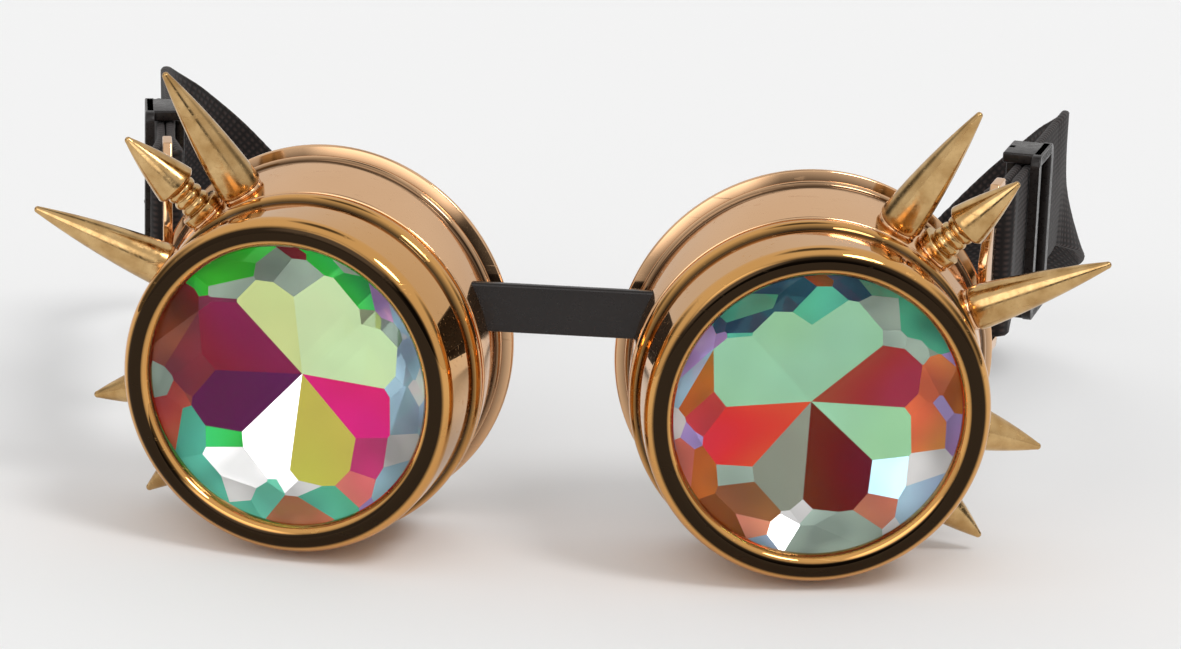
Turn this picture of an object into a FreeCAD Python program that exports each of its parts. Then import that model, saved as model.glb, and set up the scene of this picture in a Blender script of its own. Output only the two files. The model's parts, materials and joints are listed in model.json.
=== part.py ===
"""Steampunk goggles: two plated eye cups with screw caps, faceted crystal lenses and spikes.

Frame: +X is the wearer's left (right in a front view), -Y is the front, +Z is up. The origin lies
midway between the two face rims, on the height of the cup axes. Each cup has a frame of its own:
Z runs forward along the cup axis, Y is up, and Z = 0 is the plane of the lens opening.
"""
import FreeCAD
import Part
import Sketcher
import os
import re

SIZES = {
    # stance of the two cups
    "nose_gap": (16.52, "room for the nose between the two face flanges"),
    "toe_out": (10.4, "turn of each cup axis away from straight ahead, degrees"),
    "fit": (0.3, "clearance between pieces that move or slip together"),
    "seat_gap": (0.1, "gap between flat faces that clamp on each other"),
    "cutter_reach": (1.0, "distance that cuts run past the material"),
    # crystal lens
    "lens_radius": (25.0, "radius of the crystal"),
    "lens_bevel": (0.5, "bevel on the front edge of the crystal"),
    "girdle": (1.01, "thickness of the crystal's edge"),
    "rim_band": (5.0, "width of the band of rim facets"),
    "rim_slope": (0.62, "rise of the rim facets, per mm"),
    "star_band": (3.8, "width of the band of star facets"),
    "star_slope": (0.34, "rise of the star facets, per mm"),
    "main_slope": (0.235, "rise of the facets round the point, per mm"),
    "lens_turn": (22.5, "turn of the crystal in its cap, degrees"),
    # screw cap
    "lip_cover": (1.5, "how far the lip covers the crystal's edge"),
    "cap_wall": (1.7, "wall of the cap over the thread"),
    "cap_lip": (1.3, "thickness of the lip in front of the crystal"),
    "cap_lip_width": (0.6, "flat edge round the opening"),
    "cap_roll": (2.55, "radius of the rolled front ring"),
    "cap_roll_back": (1.2, "depth where the rolled ring meets the side"),
    "cap_seat": (3.5, "depth of the recess that holds the crystal's edge"),
    "cap_length": (14.5, "opening plane to the rear end of the cap"),
    "ridge_width": (3.5, "width of the bead round the rear of the cap"),
    "ridge_height": (1.1, "height of that bead"),
    # gasket and threaded neck
    "gasket_width": (2.4, "width of the rubber ring behind the crystal"),
    "gasket_thick": (1.5, "thickness of the rubber ring at its inner edge"),
    "neck_step": (1.4, "outside of the threaded neck beyond the crystal's edge"),
    "neck_wall": (2.0, "wall of the neck"),
    "thread_play": (0.1, "play between the neck and the bore of the cap"),
    # flank and face rim of the cup
    "cup_wall": (1.8, "wall of the cup"),
    "flank_length": (10.2, "shoulder to the rim ring"),
    "flank_step": (1.0, "outside of the flank beyond the cap"),
    "rim_growth": (0.3, "outside of the rim ring beyond the flank"),
    "rim_shift_out": (1.6, "rim ring moved towards the temple"),
    "rim_shift_up": (2.2, "rim ring moved up"),
    "rim_length": (4.0, "length of the rim ring"),
    "bead_width": (2.0, "width of the bead in front of the flange"),
    "bead_height": (0.9, "height of that bead"),
    "flange_width": (2.3, "width of the face flange"),
    "flange_edge": (0.9, "thickness of the flange at its edge"),
    "flange_fall": (0.5, "how far the flange falls away from the face"),
    "rim_land": (1.2, "width of the flat land that rests on the face"),
    # spikes
    "spike_radius": (3.8, "base of every spike"),
    "spike_foot": (0.5, "bevel round the base"),
    "spike_tip": (0.6, "radius of the blunt tip"),
    "spike_swell": (0.45, "how far the side of a long spike swells beyond a straight cone"),
    "long_spike_length": (24.0, "length of a long spike"),
    "short_spike_length": (12.0, "length of a short spike"),
    "spike_set_back": (5.0, "middle of the spike row behind the shoulder"),
    "seat_radius": (3.5, "flat seat under each spike"),
    "seat_rise": (0.3, "height of the seat above the wall"),
    "collar_radius": (3.7, "collar under the raised spike"),
    "collar_height": (1.6, "height of the collar"),
    "stem_radius": (2.7, "outside of the ribbed stem"),
    "stem_height": (4.8, "height of the ribbed stem"),
    "rib_depth": (0.5, "depth of the grooves in the stem"),
    "screw_radius": (1.2, "shank of the spike screws"),
    "screw_head_radius": (2.6, "radius of the screw head"),
    "screw_head_height": (1.5, "height of the screw head"),
    "screw_grip_length": (5.0, "length of the shank inside the spike"),
    # nose bridge
    "bridge_depth": (20.8, "depth where the bridge enters the cup walls"),
    "bridge_rise": (11.0, "height of the bridge above the cup axes"),
    "bridge_width": (8.2, "height of the strip"),
    "bridge_thick": (1.8, "thickness of the strip"),
    "bridge_head_width": (4.6, "width of the head that holds each end"),
    "bridge_head_thick": (1.8, "thickness of that head"),
    # ears that carry the strap
    "ear_rise": (15.5, "height of the strap above the cup axes"),
    "ear_clear": (0.2, "room between the ear and the land of the rim"),
    "ear_splay": (22.0, "angle between ear and cup axis, degrees"),
    "ear_length": (13.5, "length of the ear from the face plane"),
    "ear_thick": (1.6, "thickness of the ear"),
    "ear_frame": (2.0, "material above and below the strap slot"),
    "ear_root_top": (3.0, "top of the ear where it leaves the rim, above the strap's middle"),
    "ear_corner": (1.5, "radius of the ear's outer corners"),
    "ear_bar": (1.8, "width of the bar the strap loops round"),
    "ear_slot": (4.6, "width of the strap slot"),
    # head strap
    "strap_width": (25.0, "width of the elastic"),
    "strap_thick": (1.4, "thickness of the elastic"),
    "strap_play": (0.2, "room between the loop and the bar"),
    "strap_taper": (9.0, "length over which the two layers come together"),
    "strap_layer_gap": (0.3, "gap between the two layers"),
    "strap_tail": (39.0, "bar to the end of the folded tail"),
    "strap_run": (56.0, "bar to the start of the bend"),
    # slider
    "slider_place": (24.0, "bar to the middle of the slider"),
    "slider_length": (14.0, "length of the slider along the strap"),
    "slider_bar": (2.2, "width of the bars"),
    "slider_thick": (1.6, "thickness of the bars"),
    "slider_rail": (1.9, "width of the rails above and below the strap"),
    "slider_corner": (2.0, "radius of the corners"),
}

MAIN_FACETS = 8
RIM_FACETS = 16
STEM_RIBS = 3
RIB_CREST = 0.3  # share of each rib that is its flat crest

# where each spike stands on its cup: angle above the temple side, in degrees
SPIKE_ANGLES = {
    "long_spike_top": 61.0,
    "short_spike_raised": 46.5,
    "long_spike_side": 24.0,
    "short_spike_mid": -15.0,
    "short_spike_low": -40.5,
}

# half of the strap behind the bend, as it lies: x, y, height, and lean of its upper edge outwards
STRAP_ROUTE = [
    (84.0, 90.0, 11.0, -14.0),
    (79.5, 104.0, 1.5, -34.0),
    (66.5, 116.5, -11.5, -56.0),
    (47.5, 125.5, -21.5, -74.0),
    (25.0, 131.5, -27.0, -85.0),
    (8.0, 133.5, -28.7, -89.0),
]

doc = FreeCAD.newDocument("SteampunkGoggles")
sheet = doc.addObject("Spreadsheet::Sheet", "Dims")
for row, (alias, (size, note)) in enumerate(SIZES.items(), 1):
    sheet.set(f"A{row}", alias)
    sheet.set(f"B{row}", str(size))
    sheet.setAlias(f"B{row}", alias)
    sheet.set(f"C{row}", note)
doc.recompute()

subparts = []


def bound(text):
    """Expression text with each size written as a cell of the sheet."""
    return re.sub(r"[a-z]+(_[a-z]+)*", lambda word: f"Dims.{word[0]}" if word[0] in SIZES else word[0], text)


def number(text):
    """Value of an expression in the sheet's sizes."""
    return float(sheet.evalExpression(bound(text)))


# depths behind the lens opening and other sizes that several pieces share
RIM_START = "(lens_radius - rim_band)"
STAR_START = f"({RIM_START} - star_band)"
RIM_PEAK = "(girdle + rim_slope * lens_radius)"
STAR_PEAK = f"({RIM_PEAK} + (star_slope * cos({180 / RIM_FACETS}) - rim_slope) * {RIM_START})"
MAIN_PEAK = f"({STAR_PEAK} + (main_slope * cos({180 / MAIN_FACETS}) - star_slope) * {STAR_START})"
LENS_OPENING = "(lens_radius - lip_cover)"
NECK_RADIUS = "(lens_radius + neck_step)"
THREAD_BORE = f"({NECK_RADIUS} + thread_play)"
CAP_RADIUS = f"({THREAD_BORE} + cap_wall)"
FLANK_RADIUS = f"({CAP_RADIUS} + flank_step)"
RIM_RADIUS = f"({FLANK_RADIUS} + rim_growth)"
FLANGE_RADIUS = f"({RIM_RADIUS} + flange_width)"
GASKET_INNER = "(lens_radius - gasket_width)"
CRYSTAL_FRONT = "(cap_lip + seat_gap)"
GASKET_FRONT = f"({CRYSTAL_FRONT} + {RIM_PEAK} - rim_slope * cos({180 / RIM_FACETS}) * {GASKET_INNER} + fit)"
GASKET_BACK = f"({GASKET_FRONT} + gasket_thick)"
NECK_FRONT = f"({GASKET_BACK} + seat_gap)"
SHOULDER = "(cap_length + fit)"
SPIKE_DEPTH = f"({SHOULDER} + spike_set_back)"
RIM_FRONT = f"({SHOULDER} + flank_length)"
RIM_BACK = f"({RIM_FRONT} + rim_length)"
FACE_PLANE = f"({RIM_BACK} * cos(toe_out))"
FLANGE_SIDE = f"({FLANGE_RADIUS} - rim_shift_out)"
EYE_SPREAD = f"({FLANGE_SIDE} * cos(toe_out) + {RIM_BACK} * sin(toe_out) + nose_gap / 2)"
NOSE_WALL = f"(sqrt({FLANK_RADIUS}^2 - bridge_rise^2) - cup_wall / 2)"
RIM_INNER = f"({RIM_RADIUS} - cup_wall)"
LAND_RADIUS = f"({RIM_INNER} + rim_land)"
EAR_ROOT = f"({RIM_BACK} - rim_length / 2)"
EAR_FOOT = "(ear_thick / 2 / cos(ear_splay) - rim_length / 2 * tan(ear_splay))"
EAR_REACH = f"(rim_shift_out + {LAND_RADIUS} + ear_clear + {EAR_FOOT})"
STRAP_STACK = "(strap_thick + strap_layer_gap / 2)"
STRAP_ROOM = "(strap_width / 2 + fit)"


def new_body(name):
    """Empty body for one piece, labelled with the piece's name."""
    body = doc.addObject("PartDesign::Body", name)
    body.Label = name
    subparts.append(body)
    return body


def origin_part(body, role):
    """Origin plane or axis of a body."""
    return next(feature for feature in body.Origin.OriginFeatures if feature.Role == role)


def place(body, text):
    """Bind the place of a body to the sheet."""
    body.setExpression("Placement", bound(text))


def sketch(body, name, role, offset="placement(vector(0; 0; 0); rotation(0; 0; 0))"):
    """Sketch on one of the body's origin planes, moved by an offset in the sketch's own axes."""
    drawing = body.newObject("Sketcher::SketchObject", name)
    drawing.AttachmentSupport = [(origin_part(body, role), "")]
    drawing.MapMode = "FlatFace"
    drawing.setExpression("AttachmentOffset", bound(offset))
    return drawing


def arc_between(start, end, radius, turn):
    """Arc under a half circle from start to end; turn is 1 to the left and -1 to the right."""
    chord = end - start
    side = FreeCAD.Vector(-chord.y, chord.x, 0).normalize()
    centre = (start + end) * 0.5 + side * turn * max(radius**2 - chord.Length**2 / 4, 0) ** 0.5
    first, last = (start, end) if turn > 0 else (end, start)
    circle = Part.Circle(centre, FreeCAD.Vector(0, 0, 1), radius)
    return Part.ArcOfCircle(circle, circle.parameter(first), circle.parameter(last))


def tie(drawing, kind, *members, text):
    """Add a dimension whose value is bound to the sheet."""
    index = drawing.addConstraint(Sketcher.Constraint(kind, *members, number(text)))
    drawing.setExpression(f"Constraints[{index}]", bound(text))


def outline(drawing, corners):
    """Closed outline through corners (x, y), or (x, y, radius, turn) for an arc that ends there."""
    first = drawing.GeometryCount
    spots = [FreeCAD.Vector(number(corner[0]), number(corner[1]), 0) for corner in corners]
    ends = []
    for index, corner in enumerate(corners):
        if len(corner) == 2:
            drawing.addGeometry(Part.LineSegment(spots[index - 1], spots[index]))
        else:
            drawing.addGeometry(arc_between(spots[index - 1], spots[index], number(corner[2]), corner[3]))
        ends.append((1, 2) if len(corner) == 2 or corner[3] > 0 else (2, 1))
    for index, corner in enumerate(corners):
        edge, point = first + index, ends[index][1]
        following = (index + 1) % len(corners)
        joined = (edge, point, first + following, ends[following][0])
        drawing.addConstraint(Sketcher.Constraint("Coincident", *joined))
        for axis, kind, text in ((-2, "DistanceX", corner[0]), (-1, "DistanceY", corner[1])):
            if text == "0":
                drawing.addConstraint(Sketcher.Constraint("PointOnObject", edge, point, axis))
            else:
                tie(drawing, kind, -1, 1, edge, point, text=text)
        if len(corner) == 4:
            tie(drawing, "Radius", edge, text=corner[2])


def ring_outline(drawing, radius):
    """Circle about the sketch's origin."""
    circle = Part.Circle(FreeCAD.Vector(0, 0, 0), FreeCAD.Vector(0, 0, 1), number(radius))
    edge = drawing.addGeometry(circle)
    drawing.addConstraint(Sketcher.Constraint("Coincident", edge, 3, -1, 1))
    tie(drawing, "Radius", edge, text=radius)


def rectangle(drawing, left, bottom, right, top):
    """Rectangle from its four sides."""
    outline(drawing, [(left, bottom), (right, bottom), (right, top), (left, top)])


def rounded_rectangle(drawing, half_x, half_y, radius):
    """Rectangle about the sketch's origin with rounded corners."""
    inner_x = f"{half_x} - {radius}"
    inner_y = f"{half_y} - {radius}"
    outline(drawing, [
        (inner_x, f"-{half_y}"),
        (half_x, f"-({inner_y})", radius, 1),
        (half_x, inner_y),
        (inner_x, half_y, radius, 1),
        (f"-({inner_x})", half_y),
        (f"-({half_x})", inner_y, radius, 1),
        (f"-({half_x})", f"-({inner_y})"),
        (f"-({inner_x})", f"-{half_y}", radius, 1),
    ])


def revolve(body, name, drawing):
    """Turn a profile about the sketch's upright axis."""
    feature = body.newObject("PartDesign::Revolution", name)
    feature.Profile = drawing
    feature.ReferenceAxis = (drawing, ["V_Axis"])
    feature.Angle = 360
    return feature


def extrude(body, kind, name, drawing, length, both_ways=True):
    """Pad or pocket of a sketch, to both sides of its plane or along its normal."""
    feature = body.newObject(f"PartDesign::{kind}", name)
    feature.Profile = drawing
    feature.SideType = "Symmetric" if both_ways else "One side"
    feature.setExpression("Length", bound(length))
    return feature


def loft(body, kind, name, first, second):
    """Loft between two sketches."""
    feature = body.newObject(f"PartDesign::{kind}", name)
    feature.Profile = first
    feature.Sections = [second]
    return feature


def bead(radius, back, width, height):
    """Corners of a bead on a round wall, from its rear foot forward; back is the depth of that foot."""
    slope = f"{width} / 3"
    return [
        (f"{radius} + {height}", f"-({back} - {slope})"),
        (f"{radius} + {height}", f"-({back} - 2 * {slope})"),
        (radius, f"-({back} - {width})"),
    ]


def turned(body, profile):
    """Body made by one revolution of a profile given as (radius, height) corners."""
    drawing = sketch(body, "Profile", "XZ_Plane")
    outline(drawing, profile)
    revolve(body, "Turned", drawing)


def cup_frame(side):
    """Place of a cup; side is 1 for the cup on +X and -1 for the other."""
    return f"placement(vector({side} * {EYE_SPREAD}; -{FACE_PLANE}; 0); rotation({side} * toe_out; 0; 90))"


def crystal_lens(name, side):
    """Flat-fronted crystal whose back is cut in three tiers of facets that rise to a point."""
    body = new_body(name)
    blank = [("0", "0"), ("lens_radius - lens_bevel", "0"), ("lens_radius", "-lens_bevel")]
    blank += [("lens_radius", f"-{MAIN_PEAK}"), ("0", f"-{MAIN_PEAK}")]
    turned(body, blank)
    tiers = [
        ("Main", MAIN_PEAK, "main_slope", MAIN_FACETS, 0),
        ("Star", STAR_PEAK, "star_slope", MAIN_FACETS, 180 / MAIN_FACETS),
        ("Rim", RIM_PEAK, "rim_slope", RIM_FACETS, 180 / RIM_FACETS),
    ]
    past = "(lens_radius + cutter_reach)"
    below = f"({MAIN_PEAK} + cutter_reach)"
    for tier, peak, slope, count, start in tiers:
        facing = f"placement(vector(0; 0; 0); rotation(0; {start}; 0))"
        drawing = sketch(body, f"{tier}Cut", "XZ_Plane", facing)
        wedge = [(f"({peak} - {below}) / {slope}", f"-{below}"), (past, f"-{below}")]
        wedge += [(past, f"-({peak} - {slope} * {past})")]
        outline(drawing, wedge)
        cut = extrude(body, "Pocket", f"{tier}Facet", drawing, f"2 * {past}")
        doc.recompute()
        pattern = body.newObject("PartDesign::PolarPattern", f"{tier}Facets")
        pattern.Originals = [cut]
        pattern.Axis = (origin_part(body, "Z_Axis"), [""])
        pattern.Angle = 360
        pattern.Occurrences = count
        body.Tip = pattern
    seated = f"placement(vector(0; 0; -{CRYSTAL_FRONT}); rotation({side} * lens_turn; 0; 0))"
    place(body, f"{cup_frame(side)} * {seated}")


def lens_gasket(name, side):
    """Rubber ring, bevelled to the rim facets, that presses the crystal forward."""
    body = new_body(name)
    outer = "lens_radius + fit / 2"
    turned(body, [
        (GASKET_INNER, f"-{GASKET_FRONT}"),
        (GASKET_INNER, f"-{GASKET_BACK}"),
        (outer, f"-{GASKET_BACK}"),
        (outer, f"-({GASKET_FRONT} - rim_slope * gasket_width)"),
    ])
    place(body, cup_frame(side))


def screw_cap(name, side):
    """Screw ring: lip, rolled front, plain side with a rear bead, and a bore for the neck's thread."""
    body = new_body(name)
    roll_start = f"({LENS_OPENING} + cap_lip_width)"
    roll_rise = f"sqrt(cap_roll^2 - ({CAP_RADIUS} - cap_roll - {roll_start})^2)"
    seat_depth = "(cap_lip + cap_seat)"
    turned(body, [
        (LENS_OPENING, "-cap_lip"),
        ("lens_radius + fit", "-cap_lip"),
        ("lens_radius + fit", f"-{seat_depth}"),
        (THREAD_BORE, f"-{seat_depth}"),
        (THREAD_BORE, "-cap_length"),
        (CAP_RADIUS, "-cap_length"),
        *bead(CAP_RADIUS, "cap_length", "ridge_width", "ridge_height"),
        (CAP_RADIUS, "-cap_roll_back"),
        (roll_start, f"{roll_rise} - cap_roll_back", "cap_roll", 1),
        (LENS_OPENING, "0"),
    ])
    place(body, cup_frame(side))


def wall_growth(angle):
    """How far the outside of the flank moves out over its length, in a direction round the cup axis."""
    return f"(rim_growth + rim_shift_out * cos({angle}) + rim_shift_up * sin({angle}))"


def wall_radius(angle, depth):
    """Outside of the flank in a direction round the cup axis, at a depth behind the opening."""
    return f"({FLANK_RADIUS} + ({depth} - {SHOULDER}) / flank_length * {wall_growth(angle)})"


def wall_lean(angle):
    """Angle between the outside of the flank and the cup axis, in degrees."""
    return f"(atan({wall_growth(angle)} / flank_length) / 1 deg)"


def spike_frame(side, angle):
    """Place of a spike's base on the cup: its Z stands square on the leaning wall."""
    heading = angle if side > 0 else 180 - angle
    lean = wall_lean(angle)
    out = f"({wall_radius(angle, SPIKE_DEPTH)} + seat_rise * cos({lean}))"
    foot = f"vector({out} * cos({heading}); {out} * sin({heading}); seat_rise * sin({lean}) - {SPIKE_DEPTH})"
    return f"placement({foot}; rotation({heading}; 90 - {lean}; 0))"


def seat_length(angle):
    """Length of a spike seat that reaches square through the leaning wall and stands proud of both sides."""
    share = "(spike_set_back - cup_wall) / (flank_length - cup_wall)"
    inside = f"({FLANK_RADIUS} - cup_wall + {share} * {wall_growth(angle)})"
    wall = f"({wall_radius(angle, SPIKE_DEPTH)} - {inside}) * cos({wall_lean(angle)})"
    return f"({wall} + 3 * seat_rise)"


def primitive(body, kind, name, radius, height, offset):
    """Round boss or hole placed in the body's own frame."""
    feature = body.newObject(f"PartDesign::{kind}", name)
    feature.AttachmentSupport = [(origin_part(body, "XY_Plane"), "")]
    feature.MapMode = "FlatFace"
    feature.setExpression("Radius", bound(radius))
    feature.setExpression("Height", bound(height))
    feature.setExpression("AttachmentOffset", bound(offset))


def eye_cup(name, side):
    """Moulded cup: threaded neck, flank that leans out to a round face rim, spike seats and ear."""
    body = new_body(name)
    neck_inner = f"({NECK_RADIUS} - neck_wall)"

    neck = sketch(body, "NeckProfile", "XZ_Plane")
    rectangle(neck, neck_inner, f"-({SHOULDER} + cup_wall)", NECK_RADIUS, f"-{NECK_FRONT}")
    revolve(body, "Neck", neck)

    rim_shift = f"{side} * rim_shift_out; rim_shift_up"
    front = sketch(body, "FlankFront", "XY_Plane", f"placement(vector(0; 0; -{SHOULDER}); rotation(0; 0; 0))")
    ring_outline(front, FLANK_RADIUS)
    at_rim = f"placement(vector({rim_shift}; -{RIM_FRONT}); rotation(0; 0; 0))"
    rear = sketch(body, "FlankRear", "XY_Plane", at_rim)
    ring_outline(rear, RIM_RADIUS)
    loft(body, "AdditiveLoft", "Flank", front, rear)

    shifted = f"placement(vector({side} * rim_shift_out; 0; -rim_shift_up); rotation(0; 0; 0))"
    rim = sketch(body, "RimProfile", "XZ_Plane", shifted)
    bead_back = f"({RIM_FRONT} + bead_width)"
    outline(rim, [
        (RIM_INNER, f"-{RIM_BACK}"),
        (LAND_RADIUS, f"-{RIM_BACK}"),
        (FLANGE_RADIUS, f"-({RIM_BACK} - flange_fall)"),
        (FLANGE_RADIUS, f"-({RIM_BACK} - flange_fall - flange_edge)"),
        (RIM_RADIUS, f"-{bead_back}"),
        *bead(RIM_RADIUS, bead_back, "bead_width", "bead_height"),
        (RIM_INNER, f"-{RIM_FRONT}"),
    ])
    revolve(body, "Rim", rim)

    behind_shoulder = f"placement(vector(0; 0; -({SHOULDER} + cup_wall)); rotation(0; 0; 0))"
    hollow_front = sketch(body, "HollowFront", "XY_Plane", behind_shoulder)
    ring_outline(hollow_front, f"{FLANK_RADIUS} - cup_wall")
    hollow_rear = sketch(
        body, "HollowRear", "XY_Plane", f"placement(vector({rim_shift}; -{RIM_FRONT}); rotation(0; 0; 0))"
    )
    ring_outline(hollow_rear, RIM_INNER)
    loft(body, "SubtractiveLoft", "Hollow", hollow_front, hollow_rear)

    bore = sketch(body, "BoreOutline", "XY_Plane")
    ring_outline(bore, neck_inner)
    extrude(body, "Pocket", "Bore", bore, f"2 * ({SHOULDER} + 2 * cup_wall)")

    strap_ear(body, side)
    for label, angle in SPIKE_ANGLES.items():
        seat = spike_frame(side, angle)
        length = seat_length(angle)
        inward = f"{seat} * placement(vector(0; 0; -{length}); rotation(0; 0; 0))"
        primitive(body, "AdditiveCylinder", f"{label}_seat", "seat_radius", length, inward)
        below = f"{seat} * placement(vector(0; 0; -2 * {length}); rotation(0; 0; 0))"
        hole_radius = "screw_radius + fit / 2"
        primitive(body, "SubtractiveCylinder", f"{label}_hole", hole_radius, f"4 * {length}", below)

    slot = body.newObject("PartDesign::SubtractiveBox", "BridgeSlot")
    slot.AttachmentSupport = [(origin_part(body, "XY_Plane"), "")]
    slot.MapMode = "FlatFace"
    slot.setExpression("Length", bound("6 * cup_wall"))
    slot.setExpression("Width", bound("bridge_width + 2 * fit"))
    slot.setExpression("Height", bound("bridge_thick + 2 * fit"))
    centred = "vector(-3 * cup_wall; -(bridge_width / 2 + fit); -(bridge_thick / 2 + fit))"
    middle = f"vector(-{side} * {NOSE_WALL}; bridge_rise; -bridge_depth)"
    slot.setExpression("AttachmentOffset", bound(
        f"placement({middle}; rotation(0; -{side} * toe_out; 0)) * placement({centred}; rotation(0; 0; 0))"
    ))
    place(body, cup_frame(side))


def strap_ear(body, side):
    """Lug on the temple side of the rim, with a slot and a round-ended bar for the strap's loop."""
    half = f"({STRAP_ROOM} + ear_frame)"
    bar_side = "(ear_length - ear_bar)"
    slot_side = f"({bar_side} - ear_slot)"
    root = f"vector({side} * {EAR_REACH}; ear_rise; -{EAR_ROOT})"
    offset = f"placement({root}; rotation(0; 90 - {side} * ear_splay; 0))"
    plate = sketch(body, "EarOutline", "XY_Plane", offset)
    outline(plate, [
        ("0", f"-{half}"),
        ("ear_length - ear_corner", f"-{half}"),
        ("ear_length", f"-({half} - ear_corner)", "ear_corner", 1),
        ("ear_length", f"{half} - ear_corner"),
        ("ear_length - ear_corner", half, "ear_corner", 1),
        (slot_side, half),
        ("0", "ear_root_top"),
    ])
    extrude(body, "Pad", "Ear", plate, "ear_thick")
    slot = sketch(body, "EarSlotOutline", "XY_Plane", offset)
    rectangle(slot, slot_side, f"-{STRAP_ROOM}", bar_side, STRAP_ROOM)
    extrude(body, "Pocket", "EarSlot", slot, "2 * ear_thick")


def spike(name, side, angle, length, lift="0"):
    """Cone with a slightly swelling side, a bevelled foot, a blunt tip and a tapped hole."""
    body = new_body(name)
    hole = "(screw_radius + seat_gap / 2)"
    belly = f"(spike_radius + spike_tip) / 2 + spike_swell * {length} / long_spike_length"
    turned(body, [
        (hole, "0"),
        ("spike_radius - spike_foot", "0"),
        ("spike_radius", "spike_foot"),
        (belly, f"{length} / 2"),
        ("spike_tip", f"{length} - spike_tip"),
        ("0", length),
        ("0", "screw_grip_length + fit"),
        (hole, "screw_grip_length + fit"),
    ])
    raised = f"placement(vector(0; 0; {lift}); rotation(0; 0; 0))"
    place(body, f"{cup_frame(side)} * {spike_frame(side, angle)} * {raised}")


def spike_stem(name, side, angle):
    """Collar and ribbed stem that carry the raised spike clear of the wall."""
    body = new_body(name)
    hole = "(screw_radius + fit / 2)"
    pitch = f"(stem_height / {STEM_RIBS})"
    profile = [(hole, "0"), ("collar_radius", "0"), ("collar_radius", "collar_height - spike_foot")]
    profile += [("collar_radius - spike_foot", "collar_height"), ("stem_radius - rib_depth", "collar_height")]
    for rib in range(STEM_RIBS):
        profile.append(("stem_radius", f"collar_height + {pitch} * {rib + (1 - RIB_CREST) / 2}"))
        profile.append(("stem_radius", f"collar_height + {pitch} * {rib + (1 + RIB_CREST) / 2}"))
        profile.append(("stem_radius - rib_depth", f"collar_height + {pitch} * {rib + 1}"))
    profile.append((hole, "collar_height + stem_height"))
    turned(body, profile)
    place(body, f"{cup_frame(side)} * {spike_frame(side, angle)}")


def spike_screw(name, side, angle, lift="0"):
    """Pan-head screw from inside the cup into the foot of a spike."""
    body = new_body(name)
    under_head = seat_length(angle)
    turned(body, [
        ("0", f"-({under_head} + screw_head_height)"),
        ("screw_head_radius", f"-({under_head} + screw_head_height)"),
        ("screw_head_radius", f"-{under_head}"),
        ("screw_radius", f"-{under_head}"),
        ("screw_radius", f"{lift} + screw_grip_length"),
        ("0", f"{lift} + screw_grip_length"),
    ])
    place(body, f"{cup_frame(side)} * {spike_frame(side, angle)}")


def nose_bridge(name):
    """Soft strip through a slot in each cup, held by a head inside the wall."""
    body = new_body(name)
    slot_x = f"({EYE_SPREAD} - {NOSE_WALL} * cos(toe_out) - bridge_depth * sin(toe_out))"
    slot_y = f"(bridge_depth * cos(toe_out) - {NOSE_WALL} * sin(toe_out) - {FACE_PLANE})"
    top = "(bridge_rise + bridge_width / 2)"
    head_x = f"({slot_x} + {NOSE_WALL} - sqrt(({FLANK_RADIUS} - cup_wall)^2 - {top}^2) + cup_wall)"
    half = "bridge_thick / 2"
    drawing = sketch(
        body, "StripOutline", "XY_Plane", f"placement(vector(0; {slot_y}; bridge_rise); rotation(0; 0; 0))"
    )
    outline(drawing, [
        (f"-{head_x}", f"-{half}"),
        (head_x, f"-{half}"),
        (head_x, "-bridge_head_width / 2"),
        (f"{head_x} + bridge_head_thick", "-bridge_head_width / 2"),
        (f"{head_x} + bridge_head_thick", "bridge_head_width / 2"),
        (head_x, "bridge_head_width / 2"),
        (head_x, half),
        (f"-{head_x}", half),
        (f"-{head_x}", "bridge_head_width / 2"),
        (f"-({head_x} + bridge_head_thick)", "bridge_head_width / 2"),
        (f"-({head_x} + bridge_head_thick)", "-bridge_head_width / 2"),
        (f"-{head_x}", "-bridge_head_width / 2"),
    ])
    extrude(body, "Pad", "Strip", drawing, "bridge_width")
    place(body, "placement(vector(0; 0; 0); rotation(0; 0; 0))")


def strap_frame(side):
    """Frame at the bar of an ear: X runs back along the strap, Z is up, Y is to the left of X."""
    bar = "(ear_length - ear_bar / 2)"
    out = f"({EAR_REACH} + {bar} * sin(ear_splay))"
    back = f"({EAR_ROOT} + {bar} * cos(ear_splay))"
    x = f"{side} * ({EYE_SPREAD} + {out} * cos(toe_out) - {back} * sin(toe_out))"
    y = f"({out} * sin(toe_out) + {back} * cos(toe_out) - {FACE_PLANE})"
    return f"placement(vector({x}; {y}; ear_rise); rotation(90 - {side} * (ear_splay - toe_out); 0; 0))"


def strap_fold(name, side):
    """End of the strap: round the ear's bar and back on itself, with a short tail."""
    body = doc.addObject("PartDesign::Body", name)
    inner = "(sqrt(ear_bar^2 + ear_thick^2) / 2 + strap_play)"
    outer = f"({inner} + strap_thick)"
    close = "strap_layer_gap / 2"

    def corner(along, across, *arc):
        return (along, across if side < 0 else f"-({across})", *arc)

    drawing = sketch(body, "FoldOutline", "XY_Plane")
    outline(drawing, [
        corner("strap_tail", STRAP_STACK),
        corner("strap_taper", STRAP_STACK),
        corner("0", outer),
        (f"-{outer}", "0", outer, -side),
        corner("0", f"-{outer}", outer, -side),
        corner("strap_taper", f"-{STRAP_STACK}"),
        corner("strap_run", f"-{STRAP_STACK}"),
        corner("strap_run", f"-{close}"),
        corner("strap_taper", f"-{close}"),
        corner("0", f"-{inner}"),
        (f"-{inner}", "0", inner, side),
        corner("0", inner, inner, side),
        corner("strap_taper", close),
        corner("strap_tail", close),
    ])
    extrude(body, "Pad", "Fold", drawing, "strap_width")
    place(body, strap_frame(side))
    return body


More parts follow.
